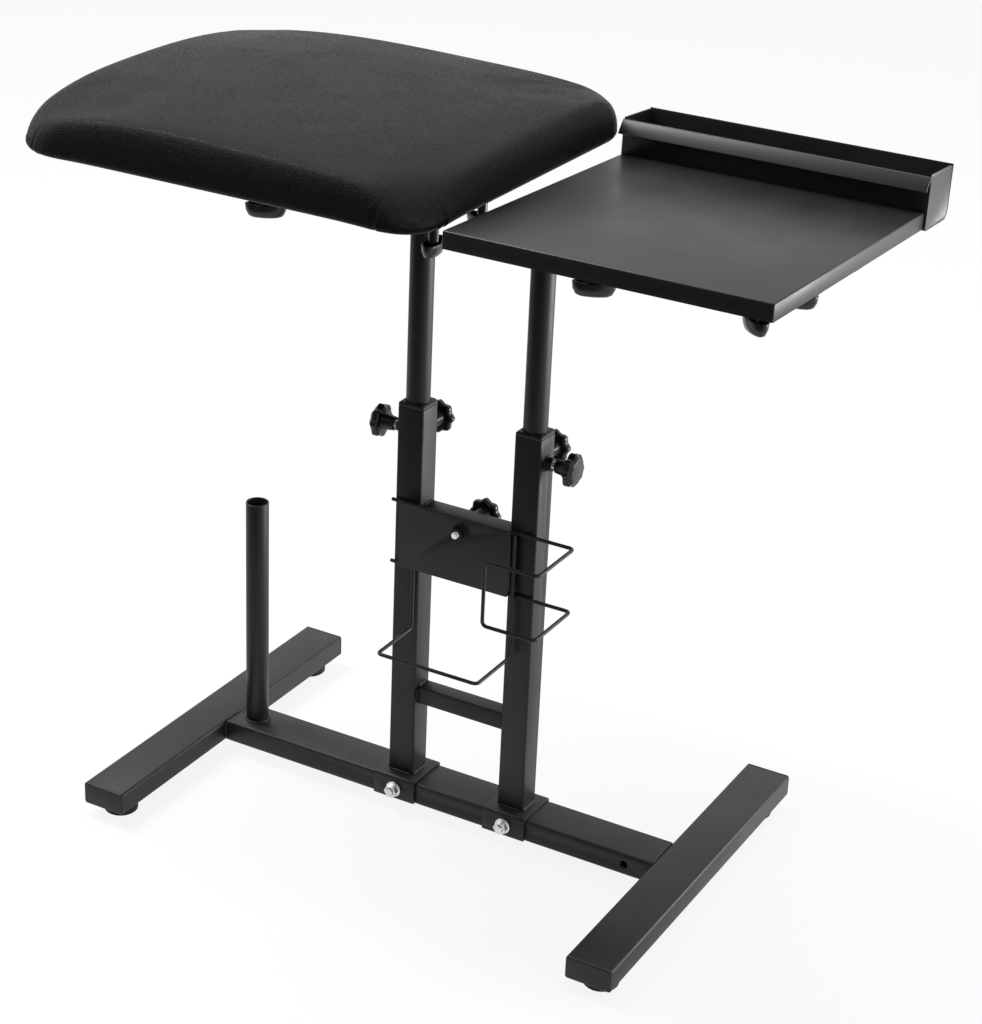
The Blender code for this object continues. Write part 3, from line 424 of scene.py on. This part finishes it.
# Each corner's sides, its radius from above, the share of the height that it loses and how local that loss is
PAD_CORNERS = (
    (1, 1, 43.7 * MM, 0.36, 7.1),
    (-1, 1, 37.0 * MM, 0.36, 2.5),
    (-1, -1, 60.0 * MM, 0.58, 3.3),
    (1, -1, 50.0 * MM, 0.0, 1.0),
)
# How much a corner's radius grows with the inset
CORNER_GROWTH = 0.15
# How far the middle of a corner's arc lies inside the sharp corner, along each side, as a share of its radius
ARC_CUT = 0.293
# The front right corner sinks to a sloping plane: its height at the sharp corner and its two slopes
NOSE_HEIGHT = -0.5 * MM
NOSE_SLOPE_X, NOSE_SLOPE_Y = 0.72, 0.41
NOSE_BLEND = 12 * MM
# How tight the roll is along the right, rear, left and front sides, and the right again
ROLL_POWERS = (12.0, 9.5, 7.4, 12.0, 12.0)
# The front corners hang by this much where the two shares of the half sizes multiply to SAG_PLACE
CORNER_SAG = 4.5 * MM
SAG_PLACE = 0.86
SAG_POWER = 8
# Insets of the loops up the roll, in millimetres
ROLL_STATIONS = (
    0.05, 0.2, 0.5, 1.0, 1.8, 3.0, 4.6, 6.6, 9.0, 12.0, 15.5, 19.5, 24.0, 29.0, 35.0, 42.0, 50.0, 60.0,
)
TUCK_STEPS = 6
CORNER_STEPS = 26
SIDE_STEPS = 24
# The simulation starts from a shape drawn in by this many millimetres, and a point ends within the cap of its
# goal. It magnifies rounding, so the order of the product that uses this matters
SWELL_DRAWN_IN = 1.4
SWELL_CAP = 3.0 * MM
SWELL_FRAMES = 20
# Points this far inside the sides are held, and the hold fades out above the first height over the second
HELD_INSIDE = 14 * MM
HELD_BELOW, HELD_FADE = 2 * MM, 9 * MM
# Only the top is evened: above this height, from this inset on, fading in over the last length
EVEN_ABOVE, EVEN_FROM, EVEN_FADE = 16 * MM, 14 * MM, 16 * MM
# Gathered folds: the corner's number, its direction in degrees, width, reach and depth
PLEATS = (
    (3, -90, 2.2 * MM, 30 * MM, 1.2 * MM),
    (3, -15, 1.8 * MM, 28 * MM, 1.3 * MM),
    (3, -3, 1.8 * MM, 36 * MM, 1.6 * MM),
    (2, -118, 2.6 * MM, 32 * MM, 1.4 * MM),
    (2, -146, 2.4 * MM, 30 * MM, 1.4 * MM),
    (1, 124, 2.2 * MM, 26 * MM, 1.2 * MM),
    (1, 150, 2.2 * MM, 26 * MM, 1.2 * MM),
    (0, 30, 2.2 * MM, 26 * MM, 1.2 * MM),
    (0, 58, 2.2 * MM, 26 * MM, 1.2 * MM),
)
# A fold leans over by this many degrees on its way up, and a low ridge stands beside its groove
PLEAT_LEAN = 9
RIDGE_SHARE, RIDGE_PLACE = 0.45, 1.6


def pad_outline(inset):
    """The pad from above, drawn in by the inset: four corner arcs and evenly split sides."""
    corners = []
    for quarter, (sx, sy, radius, *_) in enumerate(PAD_CORNERS):
        size = radius + CORNER_GROWTH * inset
        x = sx * (PAD_HALF_X - inset - size)
        y = sy * (PAD_HALF_Y - inset - size)
        for k in range(CORNER_STEPS + 1):
            angle = math.pi / 2 * (quarter + k / CORNER_STEPS)
            corners.append(Vector((x + size * math.cos(angle), y + size * math.sin(angle))))
    outline = []
    for i, point in enumerate(corners):
        outline.append(point)
        if (i + 1) % (CORNER_STEPS + 1) == 0:
            after = corners[(i + 1) % len(corners)]
            outline += [point.lerp(after, k / SIDE_STEPS) for k in range(1, SIDE_STEPS)]
    return outline


def tuck_profile():
    """Insets and heights from the pocket round the board, out under the edge to the widest line."""
    pocket = [(PAD_POCKET, height) for height in (PAD_BOARD, PAD_BOARD / 2, 0.0)]
    swings = [math.pi / 2 * (1 - k / TUCK_STEPS) for k in range(TUCK_STEPS + 1)]
    tuck = [(PAD_TUCK * (1 - math.cos(s)), PAD_BULGE * (1 - math.sin(s))) for s in swings]
    return pocket + [(PAD_TUCK * 1.2, 0.0)] + tuck


def roll_powers():
    """How tight the roll is at each point of the outline, blended round the corners."""
    powers = []
    for before, after in zip(ROLL_POWERS, ROLL_POWERS[1:]):
        powers += [before + (after - before) * k / CORNER_STEPS for k in range(CORNER_STEPS + 1)]
        powers += [after] * (SIDE_STEPS - 1)
    return powers


def pad_bow(x, y, z):
    """The left and rear sides bow out a little between their corners, and the front corners hang lower."""
    across, along = x / PAD_HALF_X, y / PAD_HALF_Y
    sag = CORNER_SAG * abs(across * along / SAG_PLACE) ** SAG_POWER if along < 0 else 0.0
    left = PAD_BOW_LEFT * max(0.0, -across) ** 2 * max(0.0, 1 - along * along)
    rear = PAD_BOW_REAR * max(0.0, along) ** 2 * max(0.0, 1 - across * across)
    return x - left, y + rear, z - sag


def pad_point(x, y, share):
    """A point of the roll or the top: its share of the full height, with the dome and the corners' falls."""
    across, along = x / PAD_HALF_X, y / PAD_HALF_Y
    full = PAD_EDGE + PAD_LEAN_X * across + PAD_LEAN_Y * along - PAD_BULGE
    dome = PAD_CROWN * math.cos(math.pi / 2 * across) * math.cos(math.pi / 2 * along)
    kept = 1.0
    for sx, sy, radius, loss, power in PAD_CORNERS:
        if across * sx > 0 and along * sy > 0:
            most = (1 - ARC_CUT * radius / PAD_HALF_X) * (1 - ARC_CUT * radius / PAD_HALF_Y)
            kept = 1 - loss * (abs(across * along) / most) ** power
    rise = full * kept + dome
    plane = NOSE_HEIGHT + NOSE_SLOPE_X * (PAD_HALF_X - x) + NOSE_SLOPE_Y * (PAD_HALF_Y + y)
    above = PAD_BULGE + rise - plane
    rise -= (above + math.hypot(above, NOSE_BLEND)) / 2
    return pad_bow(x, y, PAD_BULGE + share * max(rise, PAD_LEAST_RISE))


def coons(ring):
    """A grid inside a closed ring of points, between the middles of its four corner arcs."""
    count = CORNER_STEPS + SIDE_STEPS
    start = [q * count + CORNER_STEPS // 2 for q in range(4)]
    total = len(ring)
    rear = [ring[(start[0] + i) % total] for i in range(count + 1)]
    front = [ring[(start[3] - i) % total] for i in range(count + 1)]
    right = [ring[(start[0] - j) % total] for j in range(count + 1)]
    left = [ring[(start[1] + j) % total] for j in range(count + 1)]
    grid = []
    for j in range(count + 1):
        v = j / count
        row = []
        for i in range(count + 1):
            u = i / count
            sides = (1 - v) * rear[i] + v * front[i] + (1 - u) * right[j] + u * left[j]
            ends = (1 - v) * ((1 - u) * rear[0] + u * rear[-1]) + v * ((1 - u) * front[0] + u * front[-1])
            row.append(sides - ends)
        grid.append(row)
    return grid, start


def pad_mesh():
    work = bmesh.new()
    loops = []
    for inset, height in tuck_profile():
        loops.append([work.verts.new(pad_bow(x, y, height)) for x, y in pad_outline(inset)])
    powers = roll_powers()
    for station in ROLL_STATIONS:
        inset = station * MM
        shares = [math.sqrt(1 - (1 - inset / PAD_ROLL) ** power) for power in powers]
        outline = pad_outline(inset)
        loops.append([work.verts.new(pad_point(x, y, share)) for (x, y), share in zip(outline, shares)])
    bridge(work, loops)
    work.faces.new(list(reversed(loops[0])))
    top = loops[-1]
    grid, start = coons(pad_outline(PAD_ROLL))
    count = len(grid) - 1
    sheet = []
    for j, row in enumerate(grid):
        verts = []
        for i, point in enumerate(row):
            if j == 0:
                vert = top[(start[0] + i) % len(top)]
            elif j == count:
                vert = top[(start[3] - i) % len(top)]
            elif i == 0:
                vert = top[(start[0] - j) % len(top)]
            elif i == count:
                vert = top[(start[1] + j) % len(top)]
            else:
                vert = work.verts.new(pad_point(point.x, point.y, 1.0))
            verts.append(vert)
        sheet.append(verts)
    for a, b in zip(sheet, sheet[1:]):
        for i in range(count):
            work.faces.new((a[i], a[i + 1], b[i + 1], b[i]))
    return new_mesh("arm_pad_cover", work)


def held_share(point):
    """How firmly a point is held: fully inside the pocket, and near the rim less and less up to the bulge."""
    near_rim = abs(point.x) > PAD_HALF_X - HELD_INSIDE or abs(point.y) > PAD_HALF_Y - HELD_INSIDE
    if point.z <= PAD_BOARD and not near_rim:
        return 1.0
    return clamp(1.0 - (point.z - HELD_BELOW) / HELD_FADE)


def swell(obj):
    """Runs a short pressure simulation on a slightly drawn-in copy, and limits how far a point moves."""
    mesh = obj.data
    group = obj.vertex_groups.new(name="held")
    goals = [v.co.copy() for v in mesh.vertices]
    normals = [v.normal.copy() for v in mesh.vertices]
    for v, normal in zip(mesh.vertices, normals):
        hold = held_share(v.co)
        group.add([v.index], hold, "REPLACE")
        v.co -= normal * SWELL_DRAWN_IN * MM * (1 - hold)
    cloth = obj.modifiers.new("Cover", "CLOTH")
    settings = cloth.settings
    settings.quality = 5
    settings.mass = 0.35
    settings.air_damping = 4.0
    settings.use_pressure = True
    settings.uniform_pressure_force = 4.0
    settings.tension_stiffness = 200.0
    settings.compression_stiffness = 200.0
    settings.shear_stiffness = 100.0
    settings.bending_stiffness = 20.0
    settings.vertex_group_mass = "held"
    settings.effector_weights.gravity = 0.0
    cloth.collision_settings.use_collision = False
    scene = bpy.context.scene
    for number in range(1, SWELL_FRAMES + 1):
        scene.frame_set(number)
    swollen = applied(obj)
    scene.frame_set(1)
    for v, goal in zip(swollen.vertices, goals):
        shift = v.co - goal
        v.co = goal + shift * min(1.0, SWELL_CAP / max(shift.length, 1e-9))
    obj.vertex_groups.clear()


def even_out(obj):
    """Smooths the top, then splits every face once."""
    top = obj.vertex_groups.new(name="top")
    for v in obj.data.vertices:
        inset = min(PAD_HALF_X - abs(v.co.x), PAD_HALF_Y - abs(v.co.y)) if v.co.z > EVEN_ABOVE else 0.0
        top.add([v.index], clamp((inset - EVEN_FROM) / EVEN_FADE), "REPLACE")
    even = obj.modifiers.new("Even", "SMOOTH")
    even.factor = 0.5
    even.iterations = 12
    even.vertex_group = "top"
    finer = obj.modifiers.new("Finer", "SUBSURF")
    finer.levels = 1
    finer.render_levels = 1
    applied(obj)


def pleat(mesh, corner, angle, width, reach, depth):
    """A small gathered fold in the cover, from the tucked edge up the corner's roll."""
    sx, sy, radius = PAD_CORNERS[corner][:3]
    centre = Vector((sx * (PAD_HALF_X - radius), sy * (PAD_HALF_Y - radius)))
    for v in mesh.vertices:
        offset = Vector((v.co.x, v.co.y)) - centre
        if offset.length < 0.3 * radius or v.co.z > reach:
            continue
        lean = angle + PLEAT_LEAN * (v.co.z / reach) ** 2
        away = (math.degrees(math.atan2(offset.y, offset.x)) - lean + 180) % 360 - 180
        across = math.radians(away) * offset.length / width
        if abs(across) > 3:
            continue
        fade = (1 - v.co.z / reach) ** 0.8 if v.co.z > 0 else 1.0
        shape = math.exp(-across * across) - RIDGE_SHARE * math.exp(-((across - RIDGE_PLACE) ** 2))
        outward = Vector((offset.x, offset.y, 0)).normalized()
        v.co -= outward * depth * fade * shape


def add_pad_cover():
    cushion = placed("arm_pad_cover", pad_mesh())
    swell(cushion)
    even_out(cushion)
    for fold in PLEATS:
        pleat(cushion.data, *fold)
    cushion.data.transform(Matrix.Translation((PAD_CENTRE.x, PAD_CENTRE.y, PAD_BOTTOM)))
    smooth(cushion.data, 70)
    cushion.data.materials.append(LOOKS["leatherette"])
    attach(cushion, "arm_pad")
    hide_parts("pad_cushion")


add_pad_cover()


# Small fasteners


def joined(name, pieces, material, body):
    """One object made of several closed bmeshes."""
    total = bpy.data.meshes.new(name)
    work = bmesh.new()
    for part in pieces:
        part.to_mesh(total)
        part.free()
        work.from_mesh(total)
    bmesh.ops.recalc_face_normals(work, faces=work.faces)
    work.to_mesh(total)
    work.free()
    smooth(total, 40)
    return piece(name, total, material, body)


def turned(centre, axis, profile, sides=20):
    """A closed turned shape: radii and heights along an axis, from its seat to its top."""
    work = bmesh.new()
    rings = [round_path(centre + axis * height, radius, axis, sides) for radius, height in profile]
    loops = [[work.verts.new(point) for point in ring] for ring in rings]
    bridge(work, loops)
    work.faces.new(loops[0])
    work.faces.new(loops[-1])
    return work


STAPLE_INSET = 12.4 * MM
STAPLE_SPACING = 36 * MM
# Length, width and height in millimetres
STAPLE_SIZE = (10.5, 1.2, 0.7)
STAPLE_SINK = 0.15 * MM


def add_staples():
    """Staples that hold the cover's folded edge to the underside of the board."""
    outline = pad_outline(STAPLE_INSET)
    pieces = []
    travelled = 0.0
    for here, after in zip(outline, outline[1:] + outline[:1]):
        travelled += (after - here).length
        if travelled < STAPLE_SPACING:
            continue
        travelled = 0.0
        along = (after - here).normalized()
        out = Vector((along.y, -along.x))
        middle = Vector((here.x + PAD_CENTRE.x, here.y + PAD_CENTRE.y, PAD_BOTTOM))
        work = bmesh.new()
        bmesh.ops.create_cube(work, size=1.0)
        bmesh.ops.bevel(work, geom=work.edges[:], offset=0.25, segments=2, affect="EDGES")
        for v in work.verts:
            x, y, z = (share * size * MM for share, size in zip(v.co, STAPLE_SIZE))
            v.co = middle + Vector((along.x * x + out.x * y, along.y * x + out.y * y, z - STAPLE_SINK))
        pieces.append(work)
    joined("arm_pad_staples", pieces, LOOKS["zinc"], "arm_pad")


# Radii and heights of a pan head with its recess, in millimetres
PAN_HEAD = ((4.4, -0.6), (4.4, 0.6), (4.1, 1.5), (3.3, 2.2), (2.0, 2.5), (1.7, 2.4), (1.5, 1.0))
SCREW_FROM_END = 13 * MM
SCREW_CLEARANCE = 26 * MM
RUNNER_WIDTH, RUNNER_HEIGHT = 20 * MM, 25 * MM


def add_runner_screws(top, body):
    """Pan-head screws up through the ends of the runners, clear of the channel's travel."""
    channel_low, channel_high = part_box(f"{top}_slide_channel")
    left_limit, right_limit = channel_low.x - SCREW_CLEARANCE, channel_high.x + SCREW_CLEARANCE
    profile = [(radius * MM, height * MM) for radius, height in PAN_HEAD]
    for row in ("front", "rear"):
        low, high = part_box(f"{top}_{row}_runner")
        places = (low.x + SCREW_FROM_END, high.x - SCREW_FROM_END)
        ends = [x for x in places if x < left_limit or x > right_limit]
        tilt = math.asin(clamp((high.z - low.z - RUNNER_HEIGHT) / RUNNER_WIDTH))
        axis = Vector((0, -math.sin(tilt), -math.cos(tilt)))
        y = (low.y + high.y) / 2 - RUNNER_HEIGHT / 2 * math.sin(tilt)
        bottom = low.z + (high.z - low.z - RUNNER_HEIGHT * math.cos(tilt)) / 2
        heads = [turned(Vector((x, y, bottom)), axis, profile) for x in ends]
        if heads:
            joined(f"{top}_{row}_runner_screws", heads, LOOKS["zinc"], body)


add_staples()
add_runner_screws("pad", "arm_pad")
add_runner_screws("tray", "tray")


# Weld beads


BEAD_STEP = 0.48 * MM
BEAD_SIDES = 8
BEAD_PITCH = 1.9 * MM
BEAD_RIPPLE = 0.22
BEAD_SINK = 0.1 * MM
TUBE_TRIM = 3.2 * MM
CROSSBAR_TRIM = 3 * MM
NUT_BEAD_RADIUS = 7.3 * MM
TUBE_BEAD_STEPS = 170
NUT_BEAD_STEPS = 96
UP = Vector((0, 0, 1))


def weld(name, points, body, radius=1.5, closed=False):
    """A bead along the points, its radius in millimetres, that swells in steps along its length."""
    count = len(points)
    turn = [2 * math.pi * k / BEAD_SIDES for k in range(BEAD_SIDES)]
    work = bmesh.new()
    loops = []
    along = 0.0
    normal = None
    for i, point in enumerate(points):
        before = points[i - 1] if closed or i else point
        after = points[(i + 1) % count] if closed or i < count - 1 else point
        tangent = (after - before).normalized()
        if normal is None:
            normal = tangent.orthogonal().normalized()
        normal = (normal - tangent * normal.dot(tangent)).normalized()
        across = tangent.cross(normal)
        if i:
            along += (point - points[i - 1]).length
        phase = along / BEAD_PITCH % 1.0
        size = radius * MM * (1 + BEAD_RIPPLE * (phase - 0.5))
        ring = [point + size * (math.cos(a) * normal + math.sin(a) * across) for a in turn]
        loops.append([work.verts.new(p) for p in ring])
    bridge(work, loops, closed)
    if not closed:
        end_faces(work, loops)
    mesh = new_mesh(name, work)
    smooth(mesh, 50)
    piece(name, mesh, FRAME_COAT, body)


def weld_square(name, node, axis, at, body):
    """Beads along the four sides of a square tube where it meets what it is welded to."""
    low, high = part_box(node)
    others = [i for i in range(3) if i != axis]
    for number, (along, fixed) in enumerate(((others[0], others[1]), (others[1], others[0]))):
        for side, value in (("a", low[fixed]), ("b", high[fixed])):
            first, last = Vector(), Vector()
            for point, end in ((first, low[along] + TUBE_TRIM), (last, high[along] - TUBE_TRIM)):
                point[axis] = at
                point[fixed] = value
                point[along] = end
            weld(f"{name}_{number}{side}", line(first, last, BEAD_STEP), body)


def weld_round(name, low, high, z, body):
    """A bead round a round tube, at a height."""
    centre = Vector(((low.x + high.x) / 2, (low.y + high.y) / 2, z))
    weld(name, round_path(centre, (high.x - low.x) / 2, UP, TUBE_BEAD_STEPS), body, closed=True)


def weld_crossbar():
    low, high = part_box("crossbar")
    front, rear = low.y + CROSSBAR_TRIM, high.y - CROSSBAR_TRIM
    bottom, top = low.z + CROSSBAR_TRIM, high.z - CROSSBAR_TRIM
    for name, first, last in (
        ("top", (low.x, front, high.z), (low.x, rear, high.z)),
        ("front", (low.x, low.y, bottom), (low.x, low.y, top)),
        ("rear", (low.x, high.y, bottom), (low.x, high.y, top)),
    ):
        weld(f"crossbar_weld_{name}", line(first, last, BEAD_STEP), "base", 1.3)


def weld_nut(nut, face, axis):
    """A bead round a nut, on the face that it is welded to."""
    low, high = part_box(nut)
    centre = (low + high) / 2
    face_low, face_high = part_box(face)
    along = 0 if axis.x else 1
    centre[along] = face_high[along] if axis[along] > 0 else face_low[along]
    weld(f"{nut}_weld", round_path(centre, NUT_BEAD_RADIUS, axis, NUT_BEAD_STEPS), "base", 1.2, closed=True)


def add_welds():
    for side in ("left", "right"):
        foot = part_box(f"{side}_upright")[0].z - BEAD_SINK
        weld_square(f"{side}_upright_weld", f"{side}_upright", 2, foot, "base")
    for tie in ("upper_tie", "lower_tie"):
        low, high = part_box(tie)
        weld_square(f"{tie}_weld_left", tie, 0, low.x - BEAD_SINK, "base")
        weld_square(f"{tie}_weld_right", tie, 0, high.x + BEAD_SINK, "base")
    low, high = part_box("accessory_post")
    weld_round("post_weld", low, high, low.z - BEAD_SINK, "base")
    weld_crossbar()
    weld_nut("left_side_weld_nut", "left_upright", Vector((-1, 0, 0)))
    weld_nut("right_side_weld_nut", "right_upright", Vector((1, 0, 0)))
    weld_nut("left_rear_weld_nut", "left_upright", Vector((0, 1, 0)))
    weld_nut("right_rear_weld_nut", "right_upright", Vector((0, 1, 0)))
    weld_nut("rack_weld_nut", "rack_plate", Vector((0, -1, 0)))
    for mast in ("left_mast", "right_mast"):
        low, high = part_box(mast)
        weld_round(f"{mast}_weld", low, high, high.z + BEAD_SINK, mast)


add_welds()


# Floor, light and camera


FLOOR_HALF = 12.0
FLOOR_GREY = 0.82
# How much of the floor's look is plain white to the camera: the rest takes the object's shadow
FLOOR_WHITE = 0.88
WORLD_LIGHT, WORLD_WHITE = 0.45, 1.0
CARD_GREY = 0.09
CARD_CORNERS = ((-1.5, -0.75, 0.02), (1.1, -0.75, 0.02), (1.1, -0.95, 1.5), (-1.5, -0.95, 1.5))
# The photo's camera: azimuth, elevation and roll in degrees, place in metres, lens and sensor in millimetres
CAMERA_TURN, CAMERA_TIP, CAMERA_ROLL = 28.42, 25.03, 2.54
CAMERA_PLACE = (1.10570, -1.98293, 1.41422)
CAMERA_LENS, CAMERA_SENSOR = 85.70, 36.0


def seen_directly(tree):
    """1 for rays from the camera, off gloss or through clear surfaces, and 0 for the light on the object."""
    path = tree.nodes.new("ShaderNodeLightPath")
    total = path.outputs["Is Camera Ray"]
    for name in ("Is Glossy Ray", "Is Transmission Ray"):
        most = tree.nodes.new("ShaderNodeMath")
        most.operation = "MAXIMUM"
        tree.links.new(total, most.inputs[0])
        tree.links.new(path.outputs[name], most.inputs[1])
        total = most.outputs[0]
    return total


def floor_material():
    material = bpy.data.materials.new("pale_floor")
    material.use_nodes = True
    tree = material.node_tree
    tree.nodes.clear()
    output = tree.nodes.new("ShaderNodeOutputMaterial")
    mix = tree.nodes.new("ShaderNodeMixShader")
    plain = tree.nodes.new("ShaderNodeBsdfDiffuse")
    plain.inputs["Color"].default_value = (FLOOR_GREY, FLOOR_GREY, FLOOR_GREY, 1)
    white = tree.nodes.new("ShaderNodeEmission")
    white.inputs["Strength"].default_value = 1.0
    share = tree.nodes.new("ShaderNodeMath")
    share.operation = "MULTIPLY"
    share.inputs[1].default_value = FLOOR_WHITE
    tree.links.new(seen_directly(tree), share.inputs[0])
    tree.links.new(share.outputs[0], mix.inputs["Fac"])
    tree.links.new(plain.outputs[0], mix.inputs[1])
    tree.links.new(white.outputs[0], mix.inputs[2])
    tree.links.new(mix.outputs[0], output.inputs["Surface"])
    return material


def flat_sheet(name, corners, material):
    mesh = bpy.data.meshes.new(name)
    mesh.from_pydata(corners, [], [(0, 1, 2, 3)])
    mesh.materials.append(material)
    return placed(name, mesh)


def add_floor():
    half = FLOOR_HALF
    corners = [(-half, -half, 0), (half, -half, 0), (half, half, 0), (-half, half, 0)]
    floor = flat_sheet("floor", corners, floor_material())


def add_card():
    """A dark card in front of the object, out of the picture, that keeps its front faces deep black."""
    material = bpy.data.materials.new("dark_card")
    material.use_nodes = True
    shader = material.node_tree.nodes["Principled BSDF"]
    shader.inputs["Base Color"].default_value = (CARD_GREY, CARD_GREY, CARD_GREY, 1)
    shader.inputs["Roughness"].default_value = 0.9
    card = flat_sheet("dark_card", CARD_CORNERS, material)
    card.visible_camera = False
    card.visible_shadow = False


def add_world():
    world = bpy.data.worlds.new("studio")
    world.use_nodes = True
    bpy.context.scene.world = world
    tree = world.node_tree
    background = tree.nodes["Background"]
    level = tree.nodes.new("ShaderNodeMapRange")
    level.inputs["To Min"].default_value = WORLD_LIGHT
    level.inputs["To Max"].default_value = WORLD_WHITE
    tree.links.new(seen_directly(tree), level.inputs["Value"])
    tree.links.new(level.outputs["Result"], background.inputs["Strength"])
    background.inputs["Color"].default_value = (1, 1, 1, 1)


def add_lamp(name, place, aim, size, energy):
    lamp = bpy.data.lights.new(name, "AREA")
    lamp.shape = "RECTANGLE"
    lamp.size, lamp.size_y = size
    lamp.energy = energy
    obj = placed(name, lamp)
    obj.location = place
    obj.rotation_euler = (Vector(aim) - Vector(place)).to_track_quat("-Z", "Y").to_euler()


def add_camera():
    turn, tip, roll = (math.radians(angle) for angle in (CAMERA_TURN, CAMERA_TIP, CAMERA_ROLL))
    back = Vector((math.sin(turn) * math.cos(tip), -math.cos(turn) * math.cos(tip), math.sin(tip)))
    right = Vector((math.cos(turn), math.sin(turn), 0))
    up = back.cross(right)
    across = right * math.cos(roll) + up * math.sin(roll)
    above = up * math.cos(roll) - right * math.sin(roll)
    lens = bpy.data.cameras.new("photo_camera")
    lens.sensor_fit = "VERTICAL"
    lens.sensor_height = CAMERA_SENSOR
    lens.sensor_width = CAMERA_SENSOR
    lens.lens = CAMERA_LENS
    lens.clip_end = 100.0
    camera = placed("photo_camera", lens)
    facing = Matrix((across, above, back)).transposed().to_4x4()
    camera.matrix_world = Matrix.Translation(CAMERA_PLACE) @ facing
    bpy.context.scene.camera = camera


add_floor()
add_world()
add_lamp("overhead_softbox", (-0.35, 0.75, 2.9), (-0.35, 0.75, 0), (3.3, 2.3), 44)
add_lamp("strip_softbox", (-1.5, -0.12, 2.9), (-0.16, -0.22, 0.77), (0.3, 1.7), 78)
add_lamp("right_softbox", (2.1, 1.3, 0.37), (0, 0, 0.37), (1.7, 0.64), 62)
add_lamp("front_softbox", (-1.0, -1.15, 2.42), (-0.1, 0, 0.72), (0.7, 1.0), 5)
add_card()
add_camera()
bpy.context.scene.view_settings.view_transform = "Standard"
